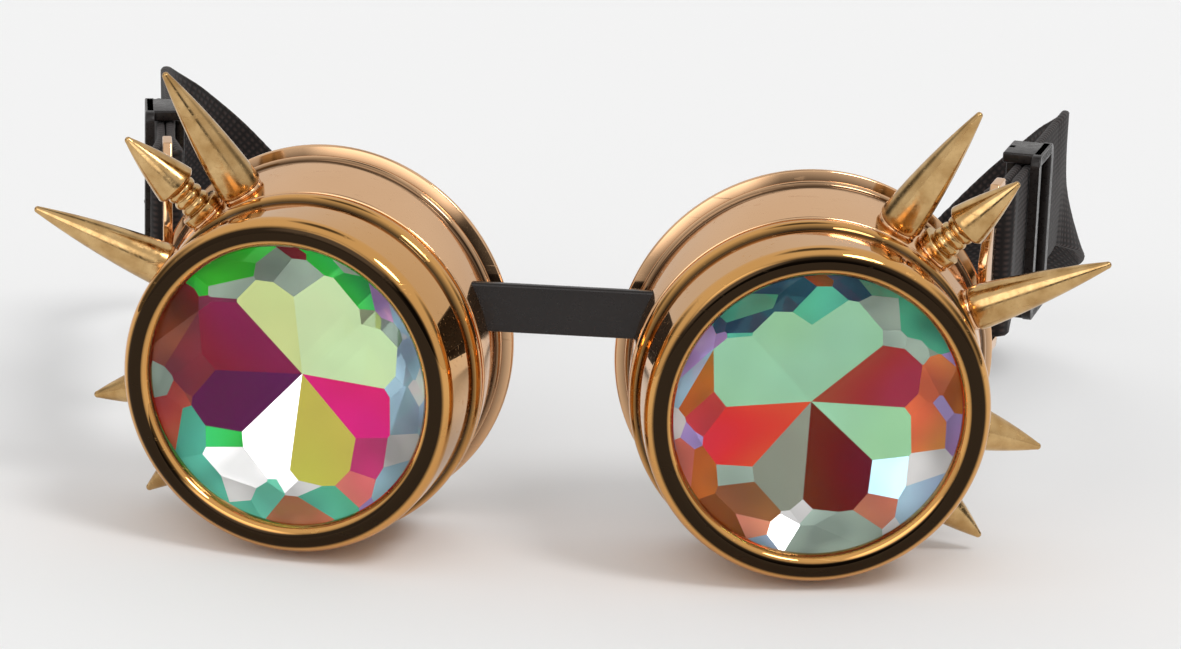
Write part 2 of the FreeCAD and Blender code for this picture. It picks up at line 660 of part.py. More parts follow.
def strap_section(centre, along, lean):
    """Corners of the strap's cross-section, square to its run and leaning outwards by an angle."""
    along = FreeCAD.Vector(along).normalize()
    level = along.cross(FreeCAD.Vector(0, 0, 1)).normalize()
    upright = level.cross(along).normalize()
    turn = FreeCAD.Rotation(along, lean)
    across = turn.multVec(upright) * number("strap_width / 2")
    through = turn.multVec(level) * number("strap_thick / 2")
    corners = [centre + across + through, centre - across + through]
    return corners + [centre - across - through, centre + across - through]


def strap_back(name, fold):
    """Loose part of the strap: it bends in behind the cups, turns flat and lies behind the bridge."""
    doc.recompute()
    layer = number("(strap_thick + strap_layer_gap) / 2")
    start = fold.Placement.multVec(FreeCAD.Vector(number("strap_run"), layer, 0))
    straight = fold.Placement.Rotation.multVec(FreeCAD.Vector(1, 0, 0))
    run = [(start, 0), (start + straight * number("strap_taper"), 0)]
    run += [(FreeCAD.Vector(x, y, z), lean) for x, y, z, lean in STRAP_ROUTE]
    spots = [spot for spot, lean in run]
    spots.append(FreeCAD.Vector(-spots[-1].x, spots[-1].y, spots[-1].z))
    half = [strap_section(start, straight, 0)]
    for index in range(1, len(run)):
        half.append(strap_section(spots[index], spots[index + 1] - spots[index - 1], run[index][1]))
    other = []
    for section in reversed(half):
        other.append([FreeCAD.Vector(-corner.x, corner.y, corner.z) for corner in section])
    wires = [Part.makePolygon(section + section[:1]) for section in half + other]
    feature = doc.addObject("Part::Feature", name)
    feature.Shape = Part.makeLoft(wires, True)
    return feature


def head_strap(name):
    """One elastic strap from ear to ear."""
    folds = [strap_fold("StrapFoldRight", 1), strap_fold("StrapFoldLeft", -1)]
    back = strap_back("StrapBack", folds[0])
    whole = doc.addObject("Part::MultiFuse", name)
    whole.Label = name
    whole.Shapes = [folds[0], back, folds[1]]
    subparts.append(whole)


def strap_slider(name, side):
    """Three-bar slider: two bars outside the strap, one inside it, and a rail above and below."""
    body = new_body(name)
    half_length = "slider_length / 2"
    half_height = f"({STRAP_ROOM} + slider_rail)"
    window = f"({half_length} - slider_bar)"
    under = f"({STRAP_STACK} + fit)"
    bar_middle = f"({under} + slider_thick / 2)"

    def layer(title, level):
        offset = f"placement(vector(0; {level}; 0); rotation(0; 0; 90))"
        return sketch(body, title, "XY_Plane", offset)

    frame = layer("FrameOutline", f"{-side} * {bar_middle}")
    rounded_rectangle(frame, half_length, half_height, "slider_corner")
    rectangle(frame, f"-{window}", f"-{STRAP_ROOM}", window, STRAP_ROOM)
    extrude(body, "Pad", "Frame", frame, "slider_thick")
    rails = layer("RailOutline", "0")
    rail_end = f"({half_length} - slider_corner)"
    rectangle(rails, f"-{rail_end}", STRAP_ROOM, rail_end, half_height)
    rectangle(rails, f"-{rail_end}", f"-{half_height}", rail_end, f"-{STRAP_ROOM}")
    extrude(body, "Pad", "Rails", rails, f"2 * ({under} + slider_thick)")
    bar = layer("BarOutline", f"{side} * {bar_middle}")
    rectangle(bar, "-slider_bar / 2", f"-{half_height}", "slider_bar / 2", half_height)
    extrude(body, "Pad", "MiddleBar", bar, "slider_thick")
    place(body, f"{strap_frame(side)} * placement(vector(slider_place; 0; 0); rotation(0; 0; 0))")


def build_side(word, side):
    """All the pieces of one eye."""
    eye_cup(f"{word}_eye_cup", side)
    screw_cap(f"{word}_screw_cap", side)
    crystal_lens(f"{word}_crystal_lens", side)
    lens_gasket(f"{word}_lens_gasket", side)
    lift = "(collar_height + stem_height)"
    for label, angle in SPIKE_ANGLES.items():
        length = "long_spike_length" if label.startswith("long") else "short_spike_length"
        raised = lift if label.endswith("raised") else "0"
        spike(f"{word}_{label}", side, angle, length, raised)
        spike_screw(f"{word}_{label}_screw", side, angle, raised)
    spike_stem(f"{word}_spike_stem", side, SPIKE_ANGLES["short_spike_raised"])
    strap_slider(f"{word}_strap_slider", side)


def check_and_export():
    """Stop on any failed object, then write one file per piece."""
    doc.recompute()
    failed = [thing.Name for thing in doc.Objects if {"Invalid", "Error"} & set(thing.State)]
    failed += [piece.Label for piece in subparts if piece.Shape.isNull() or not piece.Shape.isValid()]
    if failed:
        raise RuntimeError(f"failed objects: {failed}")
    os.makedirs("parts", exist_ok=True)
    for piece in subparts:
        piece.Shape.exportStep(f"parts/{piece.Label}.step")
        print(piece.Label, len(piece.Shape.Solids), round(piece.Shape.Volume, 1))


build_side("right", 1)
build_side("left", -1)
nose_bridge("nose_bridge")
head_strap("head_strap")
check_and_export()
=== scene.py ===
"""Steampunk goggles: the dressed model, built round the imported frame.

Lengths inside the classes are millimetres in each piece's own axes, as on a maker's drawing, and angles
are degrees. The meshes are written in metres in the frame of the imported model, with every object at the
origin.
"""

import json
import logging
import math
from collections.abc import Callable
from dataclasses import dataclass
from enum import Enum

import bmesh
import bpy
from mathutils import Matrix, Vector


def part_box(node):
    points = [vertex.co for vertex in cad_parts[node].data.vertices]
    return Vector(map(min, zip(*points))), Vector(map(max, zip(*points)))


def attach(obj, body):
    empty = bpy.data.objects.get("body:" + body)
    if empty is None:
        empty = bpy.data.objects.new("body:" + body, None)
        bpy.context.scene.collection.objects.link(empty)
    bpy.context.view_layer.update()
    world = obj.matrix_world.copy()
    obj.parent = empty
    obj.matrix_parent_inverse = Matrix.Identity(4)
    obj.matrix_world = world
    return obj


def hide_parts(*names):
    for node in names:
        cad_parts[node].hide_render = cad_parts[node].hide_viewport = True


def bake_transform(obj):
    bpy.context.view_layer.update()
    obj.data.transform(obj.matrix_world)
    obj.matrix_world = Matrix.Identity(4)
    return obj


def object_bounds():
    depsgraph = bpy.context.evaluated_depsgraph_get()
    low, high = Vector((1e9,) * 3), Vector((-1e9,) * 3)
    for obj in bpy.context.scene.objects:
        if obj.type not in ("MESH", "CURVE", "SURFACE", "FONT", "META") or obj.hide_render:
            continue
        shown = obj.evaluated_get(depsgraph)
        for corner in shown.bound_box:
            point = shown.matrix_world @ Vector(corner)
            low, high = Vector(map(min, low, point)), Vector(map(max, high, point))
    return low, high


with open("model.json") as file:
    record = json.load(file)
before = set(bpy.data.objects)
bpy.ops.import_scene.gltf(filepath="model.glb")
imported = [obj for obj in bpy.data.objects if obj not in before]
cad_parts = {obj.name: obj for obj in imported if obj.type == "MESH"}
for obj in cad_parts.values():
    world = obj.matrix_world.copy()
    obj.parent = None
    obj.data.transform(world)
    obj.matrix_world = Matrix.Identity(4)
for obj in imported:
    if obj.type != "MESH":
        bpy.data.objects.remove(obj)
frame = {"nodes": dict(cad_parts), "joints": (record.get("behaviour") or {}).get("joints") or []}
CAD_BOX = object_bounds()

LOG = logging.getLogger("goggles")
MM = 0.001
PHOTO_WIDTH = 1181
UP = Vector((0, 0, 1))

# Distances under which places count as one, in millimetres.
TINY = 1e-5
MERGE = 1e-4
NEAR = 1e-3

# Edges flatter than these angles are shaded smooth.
SMOOTH_FACETS = 3.0
SMOOTH_PLAIN = 40.0
SMOOTH_TURNED = 50.0
SMOOTH_RIBBED = 60.0

Colour = tuple[float, float, float, float]
Corner = tuple[float, float]
Span = tuple[float, float]
Triple = tuple[float, float, float]
Verts = list[bmesh.types.BMVert]
Edges = list[bmesh.types.BMEdge]
Faces = list[bmesh.types.BMFace]
Socket = bpy.types.NodeSocket


class Side(Enum):
    """The two eyes, as signs of X."""

    RIGHT = 1
    LEFT = -1

    @property
    def word(self) -> str:
        """Word for this eye in names."""
        return self.name.lower()

    def label(self, thing: str) -> str:
        """Name of one of this eye's pieces, nodes, bodies or joints."""
        return f"{self.word}_{thing}"


def tint(code: str) -> Colour:
    """Turn a six-digit colour code into linear colour.

    Args:
        code: red, green and blue as two hexadecimal digits each.

    Returns:
        Linear red, green, blue and a full alpha.
    """
    shares = [int(code[start:start + 2], 16) / 255 for start in (0, 2, 4)]
    linear = [share / 12.92 if share <= 0.04045 else ((share + 0.055) / 1.055) ** 2.4 for share in shares]
    return (*linear, 1.0)


def joint(name: str) -> dict:
    """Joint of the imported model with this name."""
    return next(item for item in frame["joints"] if item["name"] == name)


def eye_axes(side: Side) -> Matrix:
    """Axes of one eye: Z forward through the lens, Y up, with the lens opening at 0.

    Args:
        side: which eye.

    Returns:
        Matrix from the eye's millimetres to the frame's metres.
    """
    turn = joint(side.label("cap_turn"))
    forward = Vector(turn["axis"]).normalized()
    across = UP.cross(forward)
    place = Matrix((across, UP, forward)).transposed().to_4x4()
    place.translation = Vector(turn["pos_m"])
    return place @ Matrix.Scale(MM, 4)


def only(items: list, kind: type) -> list:
    """Items of one kind, such as the vertices among mixed geometry."""
    return [item for item in items if isinstance(item, kind)]


@dataclass(frozen=True)
class Rounding:
    """How the sharp edges of a piece are rounded.

    Attributes:
        width: width of the bevel.
        steps: segments of the bevel.
        limit: edges whose faces meet at more than this angle are rounded.
    """

    width: float
    steps: int
    limit: float = 35.0


class Workpiece:
    """A mesh in the making, in millimetres, shaped with bmesh operators."""

    def __init__(self) -> None:
        """Start with an empty mesh."""
        self.bm = bmesh.new()

    def face_out(self) -> None:
        """Turn every face outwards."""
        bmesh.ops.recalc_face_normals(self.bm, faces=self.bm.faces)

    def outline(self, places: list[Triple | Vector], closed: bool = True) -> tuple[Verts, Edges]:
        """Draw a line through some places.

        Args:
            places: places of its corners.
            closed: whether the last corner joins the first.

        Returns:
            Its vertices and its edges.
        """
        spots = [self.bm.verts.new(place) for place in places]
        ends = spots[1:] + spots[:1] if closed else spots[1:]
        return spots, [self.bm.edges.new(pair) for pair in zip(spots, ends)]

    def turn(self, profile: list[Corner], steps: int, edge: Rounding, closed: bool = False) -> "Workpiece":
        """Spin a profile round the Z axis and round its sharp edges.

        Args:
            profile: corners as radius and height.
            steps: segments of the full turn.
            edge: how the edges are rounded.
            closed: whether the last corner joins the first; an open profile ends on the axis.

        Returns:
            This piece.
        """
        spots, edges = self.outline([(radius, 0, height) for radius, height in profile], closed)
        bmesh.ops.spin(
            self.bm, geom=spots + edges, cent=(0, 0, 0), axis=UP, angle=math.tau, steps=steps, use_merge=True
        )
        bmesh.ops.remove_doubles(self.bm, verts=self.bm.verts, dist=MERGE)
        bmesh.ops.dissolve_degenerate(self.bm, edges=self.bm.edges, dist=TINY)
        self.face_out()
        return self.soften(edge)

    def sweep(self, section: list[Corner], stations: list[Matrix], ring: bool = False) -> list[Verts]:
        """Carry a closed section through a row of stations.

        Args:
            section: corners of the section in its own XY plane.
            stations: place of the section at each step.
            ring: whether the last station joins the first.

        Returns:
            The vertices of each station.
        """
        spots, first = self.outline([stations[0] @ Vector((x, y, 0)) for x, y in section])
        rows, loop = [spots], first
        for before, after in zip(stations, stations[1:]):
            grown = bmesh.ops.extrude_edge_only(self.bm, edges=loop)["geom"]
            spots = only(grown, bmesh.types.BMVert)
            fresh = set(spots)
            loop = [edge for edge in only(grown, bmesh.types.BMEdge) if fresh.issuperset(edge.verts)]
            bmesh.ops.transform(self.bm, matrix=after @ before.inverted(), verts=spots)
            rows.append(spots)
        if ring:
            bmesh.ops.bridge_loops(self.bm, edges=first + loop)
        else:
            bmesh.ops.contextual_create(self.bm, geom=first)
            bmesh.ops.contextual_create(self.bm, geom=loop)
        self.face_out()
        return rows

    def block(self, size: Triple, centre: Triple) -> "Workpiece":
        """Add a block.

        Args:
            size: its size along X, Y and Z.
            centre: its centre.

        Returns:
            This piece.
        """
        place = Matrix.Translation(centre) @ Matrix.Diagonal((*size, 1))
        bmesh.ops.create_cube(self.bm, size=1, matrix=place)
        return self

    def plate(self, columns: list[float], rows: list[float], hole: tuple[int, int], thick: float) -> None:
        """Add a plate in the XY plane, centred on it, with one cell left open.

        Args:
            columns: X of the plate's lines.
            rows: Y of the plate's lines.
            hole: cell to leave open, as column and row.
            thick: thickness along Z.
        """
        across, along = len(columns) - 1, len(rows) - 1
        # The grid runs from -half to half both ways until its lines are placed.
        half = 0.5
        made = bmesh.ops.create_grid(self.bm, x_segments=across, y_segments=along, size=half)["verts"]
        cells = {}
        for face in {face for vert in made for face in vert.link_faces}:
            middle = face.calc_center_median()
            cells[int((middle.x + half) * across), int((middle.y + half) * along)] = face
        for vert in made:
            column, row = round((vert.co.x + half) * across), round((vert.co.y + half) * along)
            vert.co = (columns[column], rows[row], -thick / 2)
        bmesh.ops.delete(self.bm, geom=[cells.pop(hole)], context="FACES_KEEP_BOUNDARY")
        grown = bmesh.ops.extrude_face_region(self.bm, geom=list(cells.values()))["geom"]
        bmesh.ops.translate(self.bm, vec=(0, 0, thick), verts=only(grown, bmesh.types.BMVert))
        self.face_out()

    def bevel(self, edges: Edges, width: float, steps: int, clamp: bool = False) -> None:
        """Bevel some edges.

        Args:
            edges: the edges.
            width: width of the bevel.
            steps: segments of the bevel.
            clamp: whether bevels stop where they meet.
        """
        bmesh.ops.bevel(
            self.bm, geom=edges, offset=width, segments=steps, profile=0.5, affect="EDGES", material=-1,
            clamp_overlap=clamp,
        )

    def round_uprights(self, radius: float, steps: int, spots: list[Corner]) -> None:
        """Round the upright edges at some corners of a plate.

        Args:
            radius: radius of the rounding.
            steps: segments of the rounding.
            spots: X and Y of the corners.
        """
        chosen = []
        for edge in self.bm.edges:
            start, end = (vert.co for vert in edge.verts)
            upright = (start.xy - end.xy).length < MERGE
            if upright and any((start.xy - Vector(spot)).length < NEAR for spot in spots):
                chosen.append(edge)
        self.bevel(chosen, radius, steps)

    def soften(self, edge: Rounding) -> "Workpiece":
        """Bevel every edge that is sharp enough.

        Args:
            edge: how the edges are rounded.

        Returns:
            This piece.
        """
        limit = math.radians(edge.limit)
        sharp = [item for item in self.bm.edges if item.is_manifold and item.calc_face_angle(0) > limit]
        self.bevel(sharp, edge.width, edge.steps, clamp=True)
        return self

    def long_edges(self, length: float) -> Edges:
        """Edges that run further than a length along X."""
        return [edge for edge in self.bm.edges if abs(edge.verts[0].co.x - edge.verts[1].co.x) > length]

    def mark(self, name: str, measure: Callable[[Vector], float]) -> None:
        """Store a value at every vertex, as an attribute.

        Args:
            name: name of the attribute.
            measure: gives the value at a place.
        """
        layer = self.bm.verts.layers.float.new(name)
        for vert in self.bm.verts:
            vert[layer] = measure(vert.co)

    def move(self, place: Matrix) -> "Workpiece":
        """Carry the whole piece to a place and return it."""
        bmesh.ops.transform(self.bm, matrix=place, verts=self.bm.verts)
        return self

    def join(self, *others: "Workpiece") -> None:
        """Take in other pieces, which are used up.

        Args:
            others: the pieces.
        """
        for other in others:
            spare = bpy.data.meshes.new("spare")
            other.bm.to_mesh(spare)
            other.bm.free()
            self.bm.from_mesh(spare)
            bpy.data.meshes.remove(spare)

    def shape(self, name: str, place: Matrix, smooth: float = SMOOTH_PLAIN) -> bpy.types.Object:
        """Write the mesh to an object at the origin.

        Args:
            name: name of the object.
            place: matrix from the piece's axes to the frame.
            smooth: edges flatter than this angle are shaded smooth.

        Returns:
            The new object.
        """
        self.move(place)
        mesh = bpy.data.meshes.new(name)
        self.bm.to_mesh(mesh)
        self.bm.free()
        mesh.shade_smooth()
        mesh.set_sharp_from_angle(angle=math.radians(smooth))
        piece = bpy.data.objects.new(name, mesh)
        bpy.context.scene.collection.objects.link(piece)
        return piece


def arc(start: Corner, end: Corner, radius: float, steps: int, turn: int = 1) -> list[Corner]:
    """Points of an arc under a half circle, without its start.

    Args:
        start: first point.
        end: last point.
        radius: radius of the arc.
        steps: segments of the arc.
        turn: 1 to the left of the way from start to end, -1 to the right.

    Returns:
        The points after the start, up to and with the end.
    """
    first, last = Vector(start), Vector(end)
    chord = last - first
    aside = Vector((-chord.y, chord.x)).normalized()
    centre = (first + last) / 2 + aside * turn * math.sqrt(max(radius**2 - chord.length_squared / 4, 0))
    begin = math.atan2(*(first - centre).yx)
    sweep = 2 * math.asin(min(chord.length / 2 / radius, 1)) * turn
    angles = [begin + sweep * step / steps for step in range(1, steps + 1)]
    return [(centre.x + radius * math.cos(angle), centre.y + radius * math.sin(angle)) for angle in angles]


def bend_radius(chord: float, height: float) -> float:
    """Radius of the arc that stands this high over a chord."""
    return (chord**2 / 4 + height**2) / (2 * height)


def crest(radius: float, back: float, width: float, height: float, steps: int) -> list[Corner]:
    """Rounded bead on a round wall, from its rear foot forward.

    Args:
        radius: radius of the wall.
        back: depth of the rear foot.
        width: width of the bead.
        height: height of the bead.
        steps: segments of the bead.

    Returns:
        The bead's corners, with both feet.
    """
    feet = (radius, -back), (radius, width - back)
    return [feet[0], *arc(*feet, bend_radius(width, height), steps)]


def ramp(value: float, start: float, end: float) -> float:
    """Share of the way from start to end, from 0 to 1."""
    return min(max((value - start) / (end - start), 0.0), 1.0)


def heading(azimuth: float, elevation: float) -> Vector:
    """Direction from the object.

    Args:
        azimuth: angle from the front, towards +X.
        elevation: angle above the floor.

    Returns:
        Unit vector.
    """
    turn, rise = math.radians(azimuth), math.radians(elevation)
    return Vector((math.sin(turn) * math.cos(rise), -math.cos(turn) * math.cos(rise), math.sin(rise)))


class NodeSheet:
    """Places and links the nodes of one tree."""

    def __init__(self, tree: bpy.types.NodeTree) -> None:
        """Take over a tree.

        Args:
            tree: node tree of a material, world or group.
        """
        self.tree = tree

    def fill(self, node: bpy.types.Node, values: dict[str | int, object]) -> None:
        """Set or link inputs of a node.

        Args:
            node: the node.
            values: values or source sockets, by the input's name or number.
        """
        for key, value in values.items():
            if isinstance(value, Socket):
                self.tree.links.new(value, node.inputs[key])
            else:
                node.inputs[key].default_value = value

    def add(self, kind: str, values: dict | None = None, **settings: object) -> bpy.types.Node:
        """Add a node.

        Args:
            kind: node type, without the words ShaderNode.
            values: input values or source sockets, by name or number.
            settings: properties of the node.

        Returns:
            The new node.
        """
        node = self.tree.nodes.new(f"ShaderNode{kind}")
        for key, value in settings.items():
            setattr(node, key, value)
        self.fill(node, values or {})
        return node

    def place(self) -> Socket:
        """Place on the object, in metres."""
        return self.add("TexCoord").outputs["Object"]

    def noise(self, place: Socket, scale: float | Socket, detail: float, wave: float = 0.0) -> Socket:
        """Soft noise.

        Args:
            place: coordinates that it follows.
            scale: its scale, per metre.
            detail: how many finer noises are laid over it.
            wave: how much it is distorted.

        Returns:
            Its value.
        """
        values = {"Vector": place, "Scale": scale, "Detail": detail, "Distortion": wave}
        return self.add("TexNoise", values).outputs["Fac"]

    def span(self, value: Socket, source: tuple, target: tuple = (0.0, 1.0)) -> Socket:
        """Carry a value from one range over to another, and hold it there.

        Args:
            value: the value.
            source: ends of its range.
            target: ends of the new range.

        Returns:
            The new value.
        """
        ends = dict(zip(("From Min", "From Max", "To Min", "To Max"), (*source, *target)))
        return self.add("MapRange", {"Value": value, **ends}).outputs["Result"]

    def maths(self, operation: str, *values: float | Socket) -> Socket:
        """Result of an operation on numbers."""
        return self.add("Math", dict(enumerate(values)), operation=operation).outputs[0]

    def mix(self, share: Socket, first: Colour | Socket, second: Colour | Socket) -> Socket:
        """Colour between a first and a second one, which are inputs 6 and 7 of the node."""
        return self.add("Mix", {"Factor": share, 6: first, 7: second}, data_type="RGBA").outputs[2]

    def bump(self, height: Socket, strength: float, depth: float) -> Socket:
        """Normal of a surface with this relief, whose depth is in metres."""
        return self.add("Bump", {"Height": height, "Strength": strength, "Distance": depth}).outputs["Normal"]


class GroupSheet(NodeSheet):
    """Sheet of a new shader node group."""

    def __init__(self, name: str, inputs: dict[str, float | tuple], outputs: dict[str, str]) -> None:
        """Start the group.

        Args:
            name: name of the group.
            inputs: default value of each input.
            outputs: socket type of each output, as Color or Float.
        """
        super().__init__(bpy.data.node_groups.new(name, "ShaderNodeTree"))
        for label, value in inputs.items():
            kind = "Float" if isinstance(value, float) else "Vector" if len(value) == 3 else "Color"
            self.socket(label, "INPUT", kind).default_value = value
        for label, kind in outputs.items():
            self.socket(label, "OUTPUT", kind)
        self.given = self.tree.nodes.new("NodeGroupInput").outputs
        self.result = self.tree.nodes.new("NodeGroupOutput")

    def socket(self, label: str, way: str, kind: str) -> bpy.types.NodeTreeInterfaceSocket:
        """Add an input or output of this kind to the group."""
        return self.tree.interface.new_socket(name=label, in_out=way, socket_type=f"NodeSocket{kind}")


@dataclass
class Effects:
    """Shader node groups that several finishes share."""

    finer: float = 4.0  # how much finer the gloss varies than the tone
    gloss_span: Span = (0.35, 0.65)  # noise from high gloss to low
    rare: float = 0.7  # share of places that carry no speck
    scuff_turn: Triple = (0.4, 0.9, 0.6)  # in radians
    scuff_stretch: Triple = (1.0, 26.0, 26.0)
    scuff_wave: float = 0.6
    scuff_span: Span = (0.66, 0.72)  # noise from plain to scuffed

    def __post_init__(self) -> None:
        """Build every group once."""
        self.mottle = self.build_mottle()
        self.specks = self.build_specks()
        self.scuffs = self.build_scuffs()

    def build_mottle(self) -> bpy.types.NodeTree:
        """Soft patches of tone and gloss, with a low wave in the surface.

        Returns:
            The group.
        """
        sheet = GroupSheet(
            "Surface mottle",
            {"Place": (0.0, 0.0, 0.0), "Scale": 300.0, "Tone": (0.8, 0.8, 0.8, 1.0),
             "Patch": (0.6, 0.6, 0.6, 1.0), "Low gloss": 0.3, "High gloss": 0.1},
            {"Colour": "Color", "Roughness": "Float", "Height": "Float"},
        )
        given = sheet.given
        broad = sheet.noise(given["Place"], given["Scale"], detail=3.0)
        fine = sheet.noise(given["Place"], sheet.maths("MULTIPLY", given["Scale"], self.finer), detail=2.0)
        sheet.fill(sheet.result, {
            "Colour": sheet.mix(broad, given["Tone"], given["Patch"]),
            "Roughness": sheet.span(fine, self.gloss_span, (given["High gloss"], given["Low gloss"])),
            "Height": broad,
        })
        return sheet.tree

    def build_specks(self) -> bpy.types.NodeTree:
        """Scattered fine specks, such as dust and pits in plating.

        Returns:
            The group.
        """
        inputs = {"Place": (0.0, 0.0, 0.0), "Scale": 900.0, "Size": 0.12}
        sheet = GroupSheet("Fine specks", inputs, {"Mask": "Float"})
        given = sheet.given
        dots = sheet.add("TexVoronoi", {"Vector": given["Place"], "Scale": given["Scale"]}).outputs
        inside = sheet.span(dots["Distance"], (0.0, given["Size"]), (1.0, 0.0))
        chance = sheet.add("SeparateColor", {"Color": dots["Color"]}).outputs["Red"]
        few = sheet.maths("GREATER_THAN", chance, self.rare)
        sheet.fill(sheet.result, {"Mask": sheet.maths("MULTIPLY", inside, few)})
        return sheet.tree

    def build_scuffs(self) -> bpy.types.NodeTree:
        """Short hair scratches from handling.

        Returns:
            The group.
        """
        sheet = GroupSheet("Hair scuffs", {"Place": (0.0, 0.0, 0.0), "Scale": 60.0}, {"Mask": "Float"})
        given = sheet.given
        stretch = sheet.add(
            "Mapping", {"Vector": given["Place"], "Rotation": self.scuff_turn, "Scale": self.scuff_stretch}
        )
        hair = sheet.noise(stretch.outputs["Vector"], given["Scale"], detail=1.0, wave=self.scuff_wave)
        sheet.fill(sheet.result, {"Mask": sheet.span(hair, self.scuff_span)})
        return sheet.tree


EFFECTS = Effects()


@dataclass(frozen=True)
class Finish:
    """A material of the goggles or of the studio.

    Attributes:
        name: name of the material.
    """

    name: str

    def material(self) -> bpy.types.Material:
        """Build the material.

        Returns:
            The new material.
        """
        material = bpy.data.materials.new(self.name)
        material.use_nodes = True
        self.dress(NodeSheet(material.node_tree), material.node_tree.nodes["Principled BSDF"])
        return material

    def dress(self, sheet: NodeSheet, shader: bpy.types.Node) -> None:
        """Place the nodes of the material.

        Args:
            sheet: sheet of the material.
            shader: its Principled BSDF.
        """
        raise NotImplementedError


@dataclass(frozen=True)
class MottledFinish(Finish):
    """A finish with soft patches of tone and gloss.

    Attributes:
        tone: main colour.
        patch: colour of the soft patches.
        gloss: lowest and highest roughness.
        grain: scale of the patches, per metre.
    """

    tone: str
    patch: str
    gloss: Span
    grain: float

    def mottle(self, sheet: NodeSheet, place: Socket) -> bpy.types.bpy_prop_collection:
        """Add the patches.

        Args:
            sheet: sheet of the material.
            place: coordinates that the patches follow.

        Returns:
            Sockets that give colour, roughness and height.
        """
        low, high = self.gloss
        values = {
            "Place": place, "Scale": self.grain, "Tone": tint(self.tone), "Patch": tint(self.patch),
            "High gloss": low, "Low gloss": high,
        }
        return sheet.add("Group", values, node_tree=EFFECTS.mottle).outputs


@dataclass(frozen=True)
class PlatedFinish(MottledFinish):
    """Shiny plating over moulded plastic or metal, with patches, dust and scuffs, and painted dark
    reflections and shade.

    Attributes:
        wave: strength of the bump.
        smoke: colour of the painted dark reflections and shade, whose places a piece marks in its "smoke"
            attribute; empty for none.
        worn_rough: roughness that specks and scuffs add.
        wave_depth: depth of the bump, in metres.
    """

    wave: float
    smoke: str = ""
    worn_rough: float = 0.25
    wave_depth: float = 0.0004

    def dress(self, sheet: NodeSheet, shader: bpy.types.Node) -> None:
        """Place the nodes of the plating.

        Args:
            sheet: sheet of the material.
            shader: its Principled BSDF.
        """
        place = sheet.place()
        mottle = self.mottle(sheet, place)
        wear = [
            sheet.add("Group", {"Place": place}, node_tree=tree).outputs["Mask"]
            for tree in (EFFECTS.specks, EFFECTS.scuffs)
        ]
        worn = sheet.maths("MAXIMUM", *wear)
        colour = mottle["Colour"]
        # Painted dark reflections and shade: the marked places are mixed towards a dark colour that stands in
        # for a dark room mirrored in the plating and for shade in creases.
        if self.smoke:
            dark_share = sheet.add("Attribute", attribute_name="smoke").outputs["Fac"]
            colour = sheet.mix(dark_share, colour, tint(self.smoke))
        sheet.fill(shader, {
            "Base Color": colour,
            "Roughness": sheet.maths("MULTIPLY_ADD", worn, self.worn_rough, mottle["Roughness"]),
            "Normal": sheet.bump(mottle["Height"], self.wave, self.wave_depth),
            "Metallic": 1.0,
        })


@dataclass(frozen=True)
class MouldedFinish(MottledFinish):
    """Moulded rubber or plastic with a soft sheen.

    Attributes:
        pebble: strength of the fine grain in the surface.
        shine: specular level.
        pebble_scale: scale of the fine grain, per metre.
        pebble_depth: depth of the fine grain, in metres.
    """

    pebble: float
    shine: float = 0.35
    pebble_scale: float = 5200.0
    pebble_depth: float = 0.0001

    def dress(self, sheet: NodeSheet, shader: bpy.types.Node) -> None:
        """Place the nodes of the moulded surface.

        Args:
            sheet: sheet of the material.
            shader: its Principled BSDF.
        """
        place = sheet.place()
        mottle = self.mottle(sheet, place)
        grain = sheet.noise(place, self.pebble_scale, detail=2.0)
        sheet.fill(shader, {
            "Base Color": mottle["Colour"],
            "Roughness": mottle["Roughness"],
            "Normal": sheet.bump(grain, self.pebble, self.pebble_depth),
            "Specular IOR Level": self.shine,
        })


@dataclass(frozen=True)
class CrystalFinish(Finish):
    """Clear crystal with a little dust.

    Attributes:
        index: index of refraction.
        dust: roughness of the specks.
        speck_scale: scale of the specks, per metre.
        speck_size: size of a speck, as a share of the room it has.
    """

    index: float
    dust: float
    speck_scale: float = 420.0
    speck_size: float = 0.05

    def dress(self, sheet: NodeSheet, shader: bpy.types.Node) -> None:
        """Place the nodes of the crystal.

        Args:
            sheet: sheet of the material.
            shader: its Principled BSDF.
        """
        values = {"Place": sheet.place(), "Scale": self.speck_scale, "Size": self.speck_size}
        specks = sheet.add("Group", values, node_tree=EFFECTS.specks).outputs["Mask"]
        sheet.fill(shader, {
            "Base Color": (1, 1, 1, 1),
            "Roughness": sheet.span(specks, (0.0, 1.0), (0.0, self.dust)),
            "Transmission Weight": 1.0,
            "IOR": self.index,
        })


